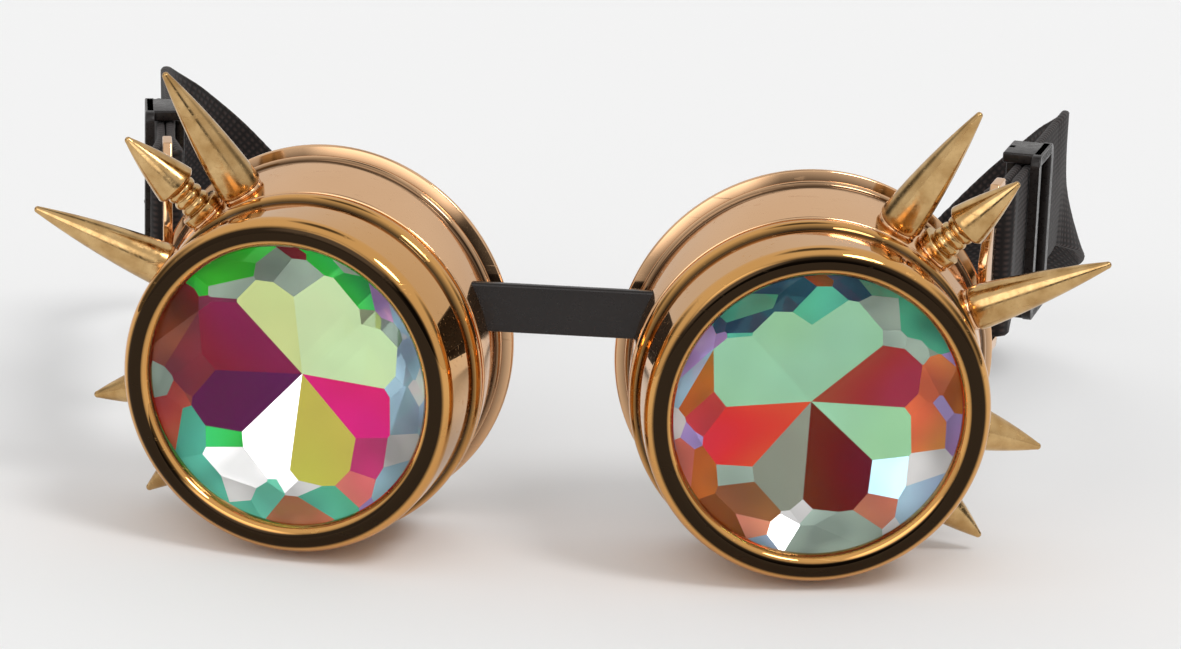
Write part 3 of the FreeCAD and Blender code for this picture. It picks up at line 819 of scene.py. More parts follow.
@dataclass(frozen=True)
class CoatFinish(Finish):
    """Iridescent coat on the facets behind the crystal, in the colours of their "facet_tint" attribute.

    Attributes:
        drift: how far the hue drifts either way, as a share of the colour circle.
        veil: how much the matter facets darken in places.
        drift_scale: scale of the drift, per metre.
        veil_scale: scale of the dark places, per metre.
        spread: noise between which drift and veil grow.
        same_hue: hue setting that leaves a colour as it is.
        lift: brightness where nothing is veiled.
        rough: roughness.
    """

    drift: float
    veil: float
    drift_scale: float = 60.0
    veil_scale: float = 150.0
    spread: Span = (0.3, 0.7)
    same_hue: float = 0.5
    lift: float = 1.08
    rough: float = 0.02

    def dress(self, sheet: NodeSheet, shader: bpy.types.Node) -> None:
        """Place the nodes of the coat.

        Args:
            sheet: sheet of the material.
            shader: its Principled BSDF.
        """
        place = sheet.place()
        coat = sheet.add("Attribute", attribute_name="facet_tint").outputs
        cloud = sheet.noise(place, self.drift_scale, detail=0.0)
        haze = sheet.noise(place, self.veil_scale, detail=0.0)
        matte = sheet.maths("SUBTRACT", 1.0, coat["Alpha"])
        loss = sheet.maths("MULTIPLY", matte, sheet.span(haze, self.spread, (0.0, self.veil)))
        tone = sheet.add("HueSaturation", {
            "Hue": sheet.span(cloud, self.spread, (self.same_hue - self.drift, self.same_hue + self.drift)),
            "Value": sheet.maths("SUBTRACT", self.lift, loss),
            "Color": coat["Color"],
        })
        sheet.fill(shader, {
            "Base Color": tone.outputs["Color"],
            "Metallic": coat["Alpha"],
            "Roughness": self.rough,
        })


@dataclass(frozen=True)
class WovenFinish(Finish):
    """Elastic with ribs across and fine ends along its length, laid out on its "ribbon" map.

    Attributes:
        dip: colour between the threads.
        thread: colour of the threads.
        ribs: scale of the ribs, per metre.
        ends: scale of the ends, per metre.
        fuzz: height of the fuzz against the threads.
        fuzz_scale: scale of the fuzz, per metre.
        relief: strength of the bump.
        relief_depth: depth of the bump, in metres.
        rough: roughness.
        shine: specular level.
        sheen: share of soft sheen.
    """

    dip: str
    thread: str
    ribs: float
    ends: float
    fuzz: float = 0.3
    fuzz_scale: float = 900.0
    relief: float = 0.5
    relief_depth: float = 0.0002
    rough: float = 0.75
    shine: float = 0.2
    sheen: float = 0.1

    def dress(self, sheet: NodeSheet, shader: bpy.types.Node) -> None:
        """Place the nodes of the weave.

        Args:
            sheet: sheet of the material.
            shader: its Principled BSDF.
        """
        chart = sheet.add("UVMap", uv_map="ribbon").outputs["UV"]
        waves = []
        for scale, way in ((self.ribs, "X"), (self.ends, "Y")):
            values = {"Vector": chart, "Scale": scale, "Distortion": 0.0}
            waves.append(sheet.add("TexWave", values, bands_direction=way).outputs["Fac"])
        weave = sheet.maths("MULTIPLY", *waves)
        fuzz = sheet.noise(chart, self.fuzz_scale, detail=3.0)
        height = sheet.maths("MULTIPLY_ADD", fuzz, self.fuzz, weave)
        sheet.fill(shader, {
            "Base Color": sheet.mix(weave, tint(self.dip), tint(self.thread)),
            "Normal": sheet.bump(height, self.relief, self.relief_depth),
            "Roughness": self.rough,
            "Specular IOR Level": self.shine,
            "Sheen Weight": self.sheen,
        })


@dataclass(frozen=True)
class PaperFinish(Finish):
    """Plain matt studio paper.

    Attributes:
        tone: grey level of the paper.
        rough: roughness.
    """

    tone: float
    rough: float = 0.9

    def dress(self, sheet: NodeSheet, shader: bpy.types.Node) -> None:
        """Set the paper's constants.

        Args:
            sheet: sheet of the material.
            shader: its Principled BSDF.
        """
        grey = (self.tone, self.tone, self.tone, 1)
        sheet.fill(shader, {"Base Color": grey, "Roughness": self.rough, "Specular IOR Level": 0.0})


# The dark colours of the cup and cap platings are painted dark reflections and painted shade.
CUP_PLATING = PlatedFinish(
    "plated rose gold", tone="E6BC94", patch="DCAE82", gloss=(0.05, 0.12), grain=55.0, wave=0.05,
    smoke="4A3423",
)
CAP_PLATING = PlatedFinish(
    "plated warm gold", tone="DEA866", patch="D29A56", gloss=(0.02, 0.06), grain=55.0, wave=0.04,
    smoke="33271B",
)
SPIKE_PLATING = PlatedFinish(
    "plated yellow gold", tone="EBC890", patch="94682E", gloss=(0.1, 0.26), grain=300.0, wave=0.06
)
SCREW_STEEL = PlatedFinish(
    "zinc plated steel", tone="A9ABAE", patch="8F9194", gloss=(0.25, 0.4), grain=300.0, wave=0.05
)
BRIDGE_RUBBER = MouldedFinish(
    "satin black rubber", tone="181413", patch="201A18", gloss=(0.24, 0.34), grain=160.0, pebble=0.1
)
SLIDER_PLASTIC = MouldedFinish(
    "moulded black plastic", tone="1A1615", patch="241E1C", gloss=(0.24, 0.36), grain=260.0, pebble=0.1
)
CLEAR_CRYSTAL = CrystalFinish("clear crystal", index=1.25, dust=0.35)
FACET_COAT = CoatFinish("iridescent coat", drift=0.02, veil=0.6)
STRAP_ELASTIC = WovenFinish("woven elastic", dip="15100F", thread="382C29", ribs=220.0, ends=320.0)
FLOOR_PAPER = PaperFinish("pale floor", tone=0.9)


class Dresser:
    """Makes one material per finish and hands finished pieces to the frame."""

    def __init__(self) -> None:
        """Start with no materials made."""
        self.made: dict[str, bpy.types.Material] = {}

    def material(self, finish: Finish) -> bpy.types.Material:
        """Material of a finish, made once.

        Args:
            finish: the finish.

        Returns:
            Its material.
        """
        if finish.name not in self.made:
            self.made[finish.name] = finish.material()
        return self.made[finish.name]

    def dress(self, piece: bpy.types.Object, slot: str, node: str, *finishes: Finish) -> None:
        """Give a piece its finishes and hide the CAD node that it stands for.

        Args:
            piece: finished piece.
            slot: the record's material slot; not used.
            node: CAD node that it replaces.
            finishes: finishes in the order of the mesh's material numbers.
        """
        for finish in finishes:
            piece.data.materials.append(self.material(finish))
        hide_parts(node)
        LOG.info("%s: %d faces for %s", piece.name, len(piece.data.polygons), node)

    def hand_over(self, piece: bpy.types.Object, body: str, slot: str, node: str, *finishes: Finish) -> None:
        """Set a piece on its body and dress it.

        Args:
            piece: finished piece.
            body: body that it rides on.
            slot: the record's material slot.
            node: CAD node that it replaces.
            finishes: finishes in the order of the mesh's material numbers.
        """
        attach(piece, body)
        self.dress(piece, slot, node, *finishes)


@dataclass
class ScrewCap:
    """Screw ring of one eye: lip, rolled front, plain side and a rear bead."""

    side: Side
    opening: float = 23.5  # clear radius in front of the crystal
    lip: float = 1.3  # thickness of the lip that holds the crystal
    lip_width: float = 0.6  # from the opening to the roll
    seat_radius: float = 25.3  # room for the crystal
    seat_depth: float = 4.8
    bore: float = 26.5  # radius inside, round the cup's neck
    radius: float = 28.2  # outside
    length: float = 14.5
    roll: float = 2.55  # radius of the rolled front
    roll_back: float = 1.2  # depth of the roll's middle
    roll_steps: int = 24
    ridge_width: float = 3.5  # the rear bead
    ridge_height: float = 1.1
    ridge_steps: int = 12
    crevice: float = 0.7  # width of the painted shade line at the bead's foot
    edge: Rounding = Rounding(0.2, 2, 40.0)
    # The painted dark reflection band runs round the front of the roll between these angles.
    smoke_start: Span = (52.0, 62.0)  # angles round the roll, from its side
    smoke_end: Span = (112.0, 119.0)
    segments: int = 144

    def profile(self) -> list[Corner]:
        """Corners of the cap's section.

        Returns:
            Radius and height of each.
        """
        roll_start = self.opening + self.lip_width
        aside = self.radius - self.roll - roll_start
        roll_end = (roll_start, math.sqrt(self.roll**2 - aside**2) - self.roll_back)
        side_front = (self.radius, -self.roll_back)
        return [
            (self.opening, -self.lip),
            (self.seat_radius, -self.lip),
            (self.seat_radius, -self.seat_depth),
            (self.bore, -self.seat_depth),
            (self.bore, -self.length),
            *crest(self.radius, self.length, self.ridge_width, self.ridge_height, self.ridge_steps),
            (self.radius, self.ridge_width + self.crevice - self.length),
            side_front,
            *arc(side_front, roll_end, self.roll, self.roll_steps),
            (self.opening, 0.0),
        ]

    def build(self, dresser: Dresser) -> None:
        """Turn the cap and hand it over.

        Args:
            dresser: dresses the cap.
        """
        work = Workpiece().turn(self.profile(), self.segments, self.edge, closed=True)
        # Marks the painted dark reflection on the roll and the painted shade line at the bead's foot.
        work.mark("smoke", self.smoke_at)
        label = self.side.label
        piece = work.shape(label("cap_ring"), eye_axes(self.side), SMOOTH_TURNED)
        dresser.hand_over(piece, label("cap"), "plated_cap", label("screw_cap"), CAP_PLATING)

    def smoke_at(self, spot: Vector) -> float:
        """How dark the plating is painted: a painted dark reflection in a band round the front of the roll,
        and a painted shade line at the foot of the bead.

        Args:
            spot: place on the cap.

        Returns:
            0 for plain plating to 1 for fully painted dark.
        """
        out, height = math.hypot(spot.x, spot.y), spot.z
        if height > -self.roll_back and out > self.opening + self.lip_width / 2:
            turn = math.degrees(math.atan2(height + self.roll_back, out - self.radius + self.roll))
            return ramp(turn, *self.smoke_start) * (1 - ramp(turn, *self.smoke_end))
        foot = self.ridge_width - self.length
        return 1 - ramp(abs(height - foot), 0.0, self.crevice) if out > self.bore + self.edge.width else 0.0


class Coat(Enum):
    """Colours of the iridescent coat behind the crystal."""

    PALE_GREEN = "D2F0B8"
    LEAF = "3BF060"
    TEAL = "5FD8B0"
    JADE = "9CD2A8"
    MAROON = "86183C"
    PLUM = "5C124C"
    MAGENTA = "DE1C64"
    RED = "D8342C"
    BRICK = "A0322C"
    ORANGE = "F58A3A"
    SALMON = "FF9278"
    LEMON = "D4D058"
    WHITE = "FFFFFF"
    SKY = "BEE4FF"
    LILAC = "D4B4FF"
    SMOKE = "B4CCBC"
    INK = "2E6A88"
    LIME = "D0E49A"
    ROSE = "E02A62"
    RUST = "A85A28"
    MOSS = "D0D6C0"


@dataclass(frozen=True)
class FacetTier:
    """One ring of facets behind the crystal.

    Attributes:
        slope: rise of the facets towards the axis, per mm.
        count: facets in the ring.
        inner: distance from the axis where the next ring begins.
        start: direction of the first facet, in shares of a facet.
        shine: share of mirror in the coat.
        coats: names of the coats of each eye's facets, in their order round the axis.
    """

    slope: float
    count: int
    inner: float
    start: float
    shine: float
    coats: dict[Side, str]


FACET_TIERS = (
    FacetTier(slope=0.62, count=24, inner=21.4, start=0.0, shine=0.15, coats={
        Side.LEFT: (
            "WHITE SKY BRICK SMOKE LEAF BRICK LEAF TEAL LEAF BRICK RED SMOKE "
            "RED BRICK TEAL TEAL TEAL SALMON RED LILAC SKY WHITE SKY WHITE"
        ),
        Side.RIGHT: (
            "LILAC TEAL ORANGE TEAL INK LEAF INK ORANGE TEAL LILAC SKY WHITE "
            "SALMON ORANGE RUST SKY WHITE SMOKE ORANGE WHITE SKY ORANGE LILAC ORANGE"
        ),
    }),
    FacetTier(slope=0.5, count=24, inner=20.2, start=0.5, shine=0.2, coats={
        Side.LEFT: (
            "SKY LILAC BRICK LEAF BRICK LEAF LEAF LEAF MAROON BRICK SKY RED "
            "TEAL RED WHITE TEAL WHITE TEAL SALMON SALMON WHITE SKY WHITE SKY"
        ),
        Side.RIGHT: (
            "SMOKE TEAL ORANGE INK RUST INK TEAL INK ORANGE SKY WHITE LILAC "
            "ORANGE RUST SALMON WHITE INK SMOKE RUST SKY WHITE ORANGE LILAC ORANGE"
        ),
    }),
    FacetTier(slope=0.4, count=16, inner=17.2, start=0.5, shine=0.35, coats={
        Side.LEFT: (
            "SMOKE LEAF SMOKE SMOKE SMOKE MAROON MAROON BRICK "
            "LEAF WHITE TEAL WHITE SALMON SALMON SKY SKY"
        ),
        Side.RIGHT: (
            "SMOKE SMOKE TEAL INK INK LILAC ORANGE LILAC "
            "ORANGE RUST WHITE SMOKE RUST WHITE ORANGE ORANGE"
        ),
    }),
    FacetTier(slope=0.33, count=8, inner=14.6, start=0.5, shine=0.5, coats={
        Side.LEFT: "PALE_GREEN SMOKE MAROON MAROON LEAF WHITE ROSE SKY",
        Side.RIGHT: "SMOKE TEAL TEAL RED SMOKE WHITE SKY ORANGE",
    }),
    FacetTier(slope=0.235, count=8, inner=0.0, start=0.0, shine=0.9, coats={
        Side.LEFT: "PALE_GREEN PALE_GREEN LIME MAROON PLUM WHITE LEMON MAGENTA",
        Side.RIGHT: "BRICK JADE JADE JADE RED MOSS RED JADE",
    }),
)


# Number of the coat among the crystal's finishes, after the clear crystal.
COAT_NUMBER = 1


@dataclass
class CrystalLens:
    """Crystal of one eye: a flat front and five rings of facets that rise to a point behind."""

    side: Side
    radius: float = 25.0
    front: float = 1.4  # depth of the flat front behind the lens opening
    bevel: float = 0.5  # round the front
    girdle: float = 1.01  # height of the plain side
    turn: float = 22.5  # of all the facets round the axis
    uneven: float = 0.03  # how much the slopes vary
    uneven_step: float = 2.3  # how fast they vary from facet to facet
    segments: int = 96

    def peaks(self) -> list[float]:
        """Where each ring's planes would meet on the axis.

        Returns:
            Depths behind the front, from the outer ring inwards.
        """
        depths = [self.girdle + FACET_TIERS[0].slope * self.radius]
        for before, after in zip(FACET_TIERS, FACET_TIERS[1:]):
            step = after.slope * math.cos(math.pi / before.count) - before.slope
            depths.append(depths[-1] + step * before.inner)
        return depths

    def build(self, dresser: Dresser) -> None:
        """Cut the crystal and hand it over.

        Args:
            dresser: dresses the crystal.
        """
        peaks = self.peaks()
        work = Workpiece()
        deep = peaks[-1]
        bmesh.ops.create_cone(
            work.bm, cap_ends=True, segments=self.segments, radius1=self.radius, radius2=self.radius,
            depth=deep, matrix=Matrix.Translation((0, 0, -deep / 2)),
        )
        front = [edge for edge in work.bm.edges if all(abs(vert.co.z) < TINY for vert in edge.verts)]
        work.bevel(front, self.bevel, steps=1)
        layer = work.bm.loops.layers.float_color.new("facet_tint")
        for tier, peak in zip(FACET_TIERS, peaks):
            for index, name in enumerate(tier.coats[self.side].split()):
                angle = math.tau * (index + tier.start) / tier.count
                slope = tier.slope * (1 + self.uneven * math.sin(index * self.uneven_step))
                colour = (*tint(Coat[name].value)[:3], tier.shine)
                for face in self.cut_facet(work.bm, peak, slope, angle):
                    face.material_index = COAT_NUMBER
                    for loop in face.loops:
                        loop[layer] = colour
                work.face_out()
        turn = Matrix.Rotation(math.radians(self.turn), 4, "Z")
        work.move(Matrix.Translation((0, 0, -self.front)) @ turn)
        label = self.side.label
        piece = work.shape(label("crystal"), eye_axes(self.side), SMOOTH_FACETS)
        dresser.hand_over(piece, label("lens"), "crystal", label("crystal_lens"), CLEAR_CRYSTAL, FACET_COAT)

    def cut_facet(self, bm: bmesh.types.BMesh, peak: float, slope: float, angle: float) -> Faces:
        """Cut one facet.

        Args:
            bm: mesh of the crystal.
            peak: depth where the facet's plane meets the axis.
            slope: rise of the facet, per mm.
            angle: direction of the facet round the axis, in radians.

        Returns:
            The faces of the cut.
        """
        normal = (slope * math.cos(angle), slope * math.sin(angle), -1)
        geometry = bm.verts[:] + bm.edges[:] + bm.faces[:]
        cut = bmesh.ops.bisect_plane(
            bm, geom=geometry, plane_co=(0, 0, -peak), plane_no=normal, clear_outer=True, dist=TINY
        )["geom_cut"]
        return bmesh.ops.contextual_create(bm, geom=only(cut, bmesh.types.BMEdge))["faces"]


@dataclass(frozen=True)
class SpikeSpot:
    """Where a spike stands on its cup.

    Attributes:
        name: name of the spike.
        angle: angle above the temple side.
        length: length of the spike.
        raised: whether it stands on the ribbed stem.
    """

    name: str
    angle: float
    length: float
    raised: bool = False


LONG_SPIKE = 24.0
SHORT_SPIKE = 12.0
SPIKE_ROW = (
    SpikeSpot("long_spike_top", 61.0, LONG_SPIKE),
    SpikeSpot("short_spike_raised", 46.5, SHORT_SPIKE, raised=True),
    SpikeSpot("long_spike_side", 24.0, LONG_SPIKE),
    SpikeSpot("short_spike_mid", -15.0, SHORT_SPIKE),
    SpikeSpot("short_spike_low", -40.5, SHORT_SPIKE),
)


@dataclass
class EyeCup:
    """Moulded cup of one eye: neck, leaning flank, face rim, spike seats and strap ear."""

    side: Side
    neck_radius: float = 26.4  # over the thread
    neck_wall: float = 2.0  # with the thread
    neck_front: float = 6.07  # depth behind the lens opening
    thread_depth: float = 0.7
    thread_pitch: float = 3.0
    thread_turns: int = 2
    thread_half: float = 1.0  # half the width of the thread at its foot
    thread_sunk: float = 0.2  # how far its foot is sunk in the neck
    thread_short: float = 0.02  # how far its crest stays inside the neck radius
    shoulder: float = 14.8  # depth where the flank begins
    wall: float = 1.8
    flank_radius: float = 29.2  # outside, at the shoulder
    flank_length: float = 10.2
    rim_radius: float = 29.5
    rim_out: float = 1.6  # shift of the rim towards the temple
    rim_up: float = 2.2  # shift of the rim upwards
    rim_length: float = 4.0
    rim_land: float = 1.2  # width of the flat that rests on the face
    bead_width: float = 2.0  # bead between flank and rim
    bead_height: float = 0.9
    bead_steps: int = 8
    flange_radius: float = 31.8
    flange_edge: float = 0.9  # thickness of the flange's edge
    flange_fall: float = 0.5  # how far the flange lies in front of the land
    crease: float = 0.6  # width of the painted shade lines at the bead's feet
    edge: Rounding = Rounding(0.3, 3, 38.0)
    spike_depth: float = 19.8
    seat_radius: float = 3.5
    seat_rise: float = 0.3  # how far a seat stands proud of the wall
    seat_edge: Rounding = Rounding(0.2, 2)
    seat_segments: int = 48
    ear_rise: float = 15.5  # height of the ear's middle
    ear_splay: float = 22.0  # angle outwards from straight back
    ear_clear: float = 0.2  # between the ear's root and the land
    ear_length: float = 13.5
    ear_thick: float = 1.6
    ear_half: float = 14.8  # half its height
    ear_room: float = 12.8  # half the height of its slot
    ear_slot: float = 4.6  # width of its slot
    ear_bar: float = 1.8  # width of the bar that holds the strap
    ear_root_top: float = 3.0  # top of the root
    ear_corner: float = 1.5
    ear_corner_steps: int = 6
    ear_edge: Rounding = Rounding(0.25, 3)
    segments: int = 144

    def __post_init__(self) -> None:
        """Work out the depths of the rim."""
        self.rim_front = self.shoulder + self.flank_length
        self.rim_back = self.rim_front + self.rim_length

    def wall_growth(self, angle: float) -> float:
        """How far the outside of the flank moves out over its length, in a direction round the cup axis."""
        shift = self.rim_out * math.cos(math.radians(angle)) + self.rim_up * math.sin(math.radians(angle))
        return self.rim_radius - self.flank_radius + shift

    def wall_lean(self, angle: float) -> float:
        """Angle between the outside of the flank and the cup axis, in radians."""
        return math.atan(self.wall_growth(angle) / self.flank_length)

    def wall_radius(self, angle: float, depth: float) -> float:
        """Outside of the flank.

        Args:
            angle: direction round the cup axis, from the temple side.
            depth: depth behind the lens opening.

        Returns:
            Distance from the cup axis.
        """
        return self.flank_radius + (depth - self.shoulder) / self.flank_length * self.wall_growth(angle)

    def seat_place(self, angle: float) -> Matrix:
        """Place of a spike's foot: Z stands square on the leaning wall.

        Args:
            angle: direction round the cup axis, from the temple side.

        Returns:
            Matrix from the spike's axes to the cup's.
        """
        way = math.radians(angle if self.side is Side.RIGHT else 180 - angle)
        lean = self.wall_lean(angle)
        out = self.wall_radius(angle, self.spike_depth) + self.seat_rise * math.cos(lean)
        level = self.seat_rise * math.sin(lean) - self.spike_depth
        foot = Matrix.Translation((out * math.cos(way), out * math.sin(way), level))
        return foot @ Matrix.Rotation(way, 4, "Z") @ Matrix.Rotation(math.pi / 2 - lean, 4, "Y")

    def seat_length(self, angle: float) -> float:
        """Length of a spike seat, which reaches square through the leaning wall.

        Args:
            angle: direction round the cup axis, from the temple side.

        Returns:
            The length, with one rise outside the wall and two inside.
        """
        share = (self.spike_depth - self.shoulder - self.wall) / (self.flank_length - self.wall)
        inside = self.flank_radius - self.wall + share * self.wall_growth(angle)
        through = (self.wall_radius(angle, self.spike_depth) - inside) * math.cos(self.wall_lean(angle))
        return through + 3 * self.seat_rise

    def stations(self) -> list[Matrix]:
        """Rings of the shell, from the front of the neck, over the rim and back inside.

        Returns:
            Place and size of a unit circle for each ring.
        """
        core = self.neck_radius - self.thread_depth
        inner = self.neck_radius - self.neck_wall
        rim_inner = self.rim_radius - self.wall
        bead_back = self.rim_front + self.bead_width
        bead = crest(self.rim_radius, bead_back, self.bead_width, self.bead_height, self.bead_steps)
        # A ring one painted shade line's width before the bead bounds that line.
        near = 1 - self.crease / self.flank_length
        near_radius = self.flank_radius + near * (self.rim_radius - self.flank_radius)
        rings = [
            (inner, self.neck_front, 0.0),
            (core, self.neck_front, 0.0),
            (core, self.shoulder, 0.0),
            (self.flank_radius, self.shoulder, 0.0),
            (near_radius, self.rim_front - self.crease, near),
            *((radius, -height, 1.0) for radius, height in reversed(bead)),
            (self.flange_radius, self.rim_back - self.flange_fall - self.flange_edge, 1.0),
            (self.flange_radius, self.rim_back - self.flange_fall, 1.0),
            (rim_inner + self.rim_land, self.rim_back, 1.0),
            (rim_inner, self.rim_back, 1.0),
            (rim_inner, self.rim_front, 1.0),
            (self.flank_radius - self.wall, self.shoulder + self.wall, 0.0),
            (inner, self.shoulder + self.wall, 0.0),
        ]
        shift = Vector((self.side.value * self.rim_out, self.rim_up, 0))
        return [
            Matrix.Translation(shift * share - UP * depth) @ Matrix.Diagonal((radius, radius, 1, 1))
            for radius, depth, share in rings
        ]

    def build(self, dresser: Dresser) -> None:
        """Build the cup and hand it over.

        Args:
            dresser: dresses the cup.
        """
        work = Workpiece()
        angles = [math.tau * step / self.segments for step in range(self.segments)]
        work.sweep([(math.cos(angle), math.sin(angle)) for angle in angles], self.stations(), ring=True)
        work.soften(self.edge)
        # Marks the painted shade lines at the bead's feet and the painted dark reflection and shade in the
        # groove in front of the flange.
        work.mark("smoke", self.smoke_at)
        work.join(self.thread(), *(self.seat(spot.angle) for spot in SPIKE_ROW), self.ear())
        label = self.side.label
        piece = work.shape(label("cup_shell"), eye_axes(self.side), SMOOTH_TURNED)
        dresser.hand_over(piece, label("cup"), "plated_cup", label("eye_cup"), CUP_PLATING)

    def smoke_at(self, spot: Vector) -> float:
        """How dark the plating is painted: painted shade lines at the feet of the bead, and painted dark
        reflection and shade over the groove in front of the flange.

        Args:
            spot: place on the shell.

        Returns:
            0 for plain plating to 1 for fully painted dark.
        """
        depth = -spot.z
        share = ramp(depth, self.shoulder, self.rim_front)
        shift = Vector((self.side.value * self.rim_out, self.rim_up)) * share
        if (spot.xy - shift).length < self.flank_radius - self.wall / 2:
            return 0.0
        front, back = self.rim_front, self.rim_front + self.bead_width
        if depth > back:
            return 1 - ramp(depth, back, self.rim_back - self.flange_fall - self.flange_edge)
        return 1 - ramp(min(abs(depth - front), back - depth), 0.0, self.crease)

    def thread(self) -> Workpiece:
        """Screw thread round the neck.

        Returns:
            The thread.
        """
        work = Workpiece()
        foot = self.neck_radius - self.thread_depth - self.thread_sunk
        top = self.neck_radius - self.thread_short
        start = -self.shoulder + self.thread_pitch / 2
        corners = [(foot, start - self.thread_half), (top, start), (foot, start + self.thread_half)]
        spots, edges = work.outline([(radius, 0, height) for radius, height in corners])
        end_face = work.bm.faces.new(spots)
        bmesh.ops.spin(
            work.bm, geom=[end_face, *spots, *edges], cent=(0, 0, 0), axis=UP,
            angle=math.tau * self.thread_turns, steps=self.segments * self.thread_turns,
            dvec=(0, 0, self.thread_pitch / self.segments),
        )
        work.face_out()
        return work

    def seat(self, angle: float) -> Workpiece:
        """Round seat under a spike.

        Args:
            angle: direction round the cup axis, from the temple side.

        Returns:
            The seat in its place.
        """
        length = self.seat_length(angle)
        profile = [(0, -length), (self.seat_radius, -length), (self.seat_radius, 0), (0, 0)]
        return Workpiece().turn(profile, self.seat_segments, self.seat_edge).move(self.seat_place(angle))

    def ear_place(self) -> Matrix:
        """Axes of the ear: X runs back and outwards along it, Y is up, with its root at 0.

        Returns:
            Matrix from the ear's axes to the cup's.
        """
        splay = math.radians(self.ear_splay)
        land = self.rim_radius - self.wall + self.rim_land
        foot = self.ear_thick / 2 / math.cos(splay) - self.rim_length / 2 * math.tan(splay)
        reach = self.rim_out + land + self.ear_clear + foot
        root = Vector((self.side.value * reach, self.ear_rise, self.rim_length / 2 - self.rim_back))
        turn = Matrix.Rotation(math.pi / 2 - self.side.value * splay, 4, "Y")
        return Matrix.Translation(root) @ turn

    def ear(self) -> Workpiece:
        """Strap ear: a lug with a slot and a bar, whose root slopes down at the top.

        Returns:
            The ear in its place.
        """
        work = Workpiece()
        bar_side = self.ear_length - self.ear_bar
        columns = [0, bar_side - self.ear_slot, bar_side, self.ear_length]
        rows = [-self.ear_half, -self.ear_room, self.ear_room, self.ear_half]
        work.plate(columns, rows, (1, 1), self.ear_thick)
        for vert in work.bm.verts:
            if vert.co.x < TINY and vert.co.y > 0:
                vert.co.y = self.ear_root_top if vert.co.y > self.ear_room + TINY else self.ear_root_top / 2
        ends = [(self.ear_length, -self.ear_half), (self.ear_length, self.ear_half)]
        work.round_uprights(self.ear_corner, self.ear_corner_steps, ends)
        return work.soften(self.ear_edge).move(self.ear_place())


@dataclass
class SpikeSet:
    """Spikes of one eye with the ribbed stem and the screws that hold them."""

    cup: EyeCup
    radius: float = 3.8
    foot: float = 0.5  # bevel round the foot
    tip: float = 0.6  # radius of the tip where the side ends
    tip_bend: float = 0.612  # radius of the tip's rounding
    tip_steps: int = 6
    swell: float = 0.45  # how far a long spike's side swells
    side_steps: int = 14
    edge: Rounding = Rounding(0.12, 2, 30.0)
    collar_radius: float = 3.7
    collar_height: float = 1.6
    stem_radius: float = 2.7
    stem_height: float = 4.8
    rib_depth: float = 0.5
    rib_steps: int = 8
    ribs: int = 3
    stem_edge: Rounding = Rounding(0.2, 3, 45.0)
    head_radius: float = 2.6
    head_height: float = 1.5
    crown_radius: float = 1.612  # flat of the screw head
    crown_fall: float = 0.9  # from the flat to the head's side
    crown_bend: float = 1.56  # radius of the rounding between them
    crown_steps: int = 6
    shank: float = 1.2  # radius of the screw
    socket: float = 1.0  # radius of the socket
    socket_depth: float = 0.9
    screw_edge: Rounding = Rounding(0.1, 2, 45.0)
    screw_segments: int = 36
    segments: int = 64

    def build(self, dresser: Dresser) -> None:
        """Build every spike, stem and screw.

        Args:
            dresser: dresses the pieces.
        """
        side = self.cup.side
        body = side.label("cup")
        for spot in SPIKE_ROW:
            node = side.label(spot.name)
            place = eye_axes(side) @ self.cup.seat_place(spot.angle)
            lift = self.collar_height + self.stem_height if spot.raised else 0
            foot = place @ Matrix.Translation((0, 0, lift))
            spike = self.spike(spot.length).shape(f"{node}_cone", foot, SMOOTH_TURNED)
            dresser.hand_over(spike, body, "gold_spike", node, SPIKE_PLATING)
            screw = self.screw(self.cup.seat_length(spot.angle)).shape(f"{node}_panhead", place)
            dresser.hand_over(screw, body, "screw_steel", f"{node}_screw", SCREW_STEEL)
            if spot.raised:
                stem = self.stem().shape(side.label("ribbed_stem"), place, SMOOTH_TURNED)
                dresser.hand_over(stem, body, "gold_spike", side.label("spike_stem"), SPIKE_PLATING)

    def spike(self, length: float) -> Workpiece:
        """Cone with a swelling side, a bevelled foot and a blunt tip.

        Args:
            length: length of the spike.

        Returns:
            The spike, standing on its foot.
        """
        foot, tip = (self.radius, self.foot), (self.tip, length - self.tip)
        bend = bend_radius(math.dist(foot, tip), self.swell * length / LONG_SPIKE)
        profile = [(0, 0), (self.radius - self.foot, 0), foot, *arc(foot, tip, bend, self.side_steps)]
        profile += arc(tip, (0, length), self.tip_bend, self.tip_steps)
        return Workpiece().turn(profile, self.segments, self.edge)

    def stem(self) -> Workpiece:
        """Collar and ribbed stem under the raised spike.

        Returns:
            The stem, standing on its collar.
        """
        top = self.collar_height + self.stem_height
        core = self.stem_radius - self.rib_depth
        profile = [(0, 0), (self.collar_radius, 0), (self.collar_radius, self.collar_height)]
        profile.append((core, self.collar_height))
        pitch = self.stem_height / self.ribs
        bend = bend_radius(pitch, self.rib_depth)
        for rib in range(self.ribs):
            start = self.collar_height + pitch * rib
            profile += arc((core, start), (core, start + pitch), bend, self.rib_steps)
        profile.append((0, top))
        return Workpiece().turn(profile, self.segments, self.stem_edge)

    def screw(self, under_head: float) -> Workpiece:
        """Pan-head screw inside the cup, with a socket in its head.

        Args:
            under_head: length from the spike's foot to the head.

        Returns:
            The screw, pointing up to the spike's foot.
        """
        top = -(under_head + self.head_height)
        floor = top + self.socket_depth
        crown = (self.crown_radius, top)
        shoulder = (self.head_radius, top + self.crown_fall)
        profile = [
            (0, 0), (self.shank, 0), (self.shank, -under_head), (self.head_radius, -under_head),
            shoulder, *arc(shoulder, crown, self.crown_bend, self.crown_steps, -1),
            (self.socket, top), (self.socket, floor), (0, floor),
        ]
        return Workpiece().turn(profile, self.screw_segments, self.screw_edge)


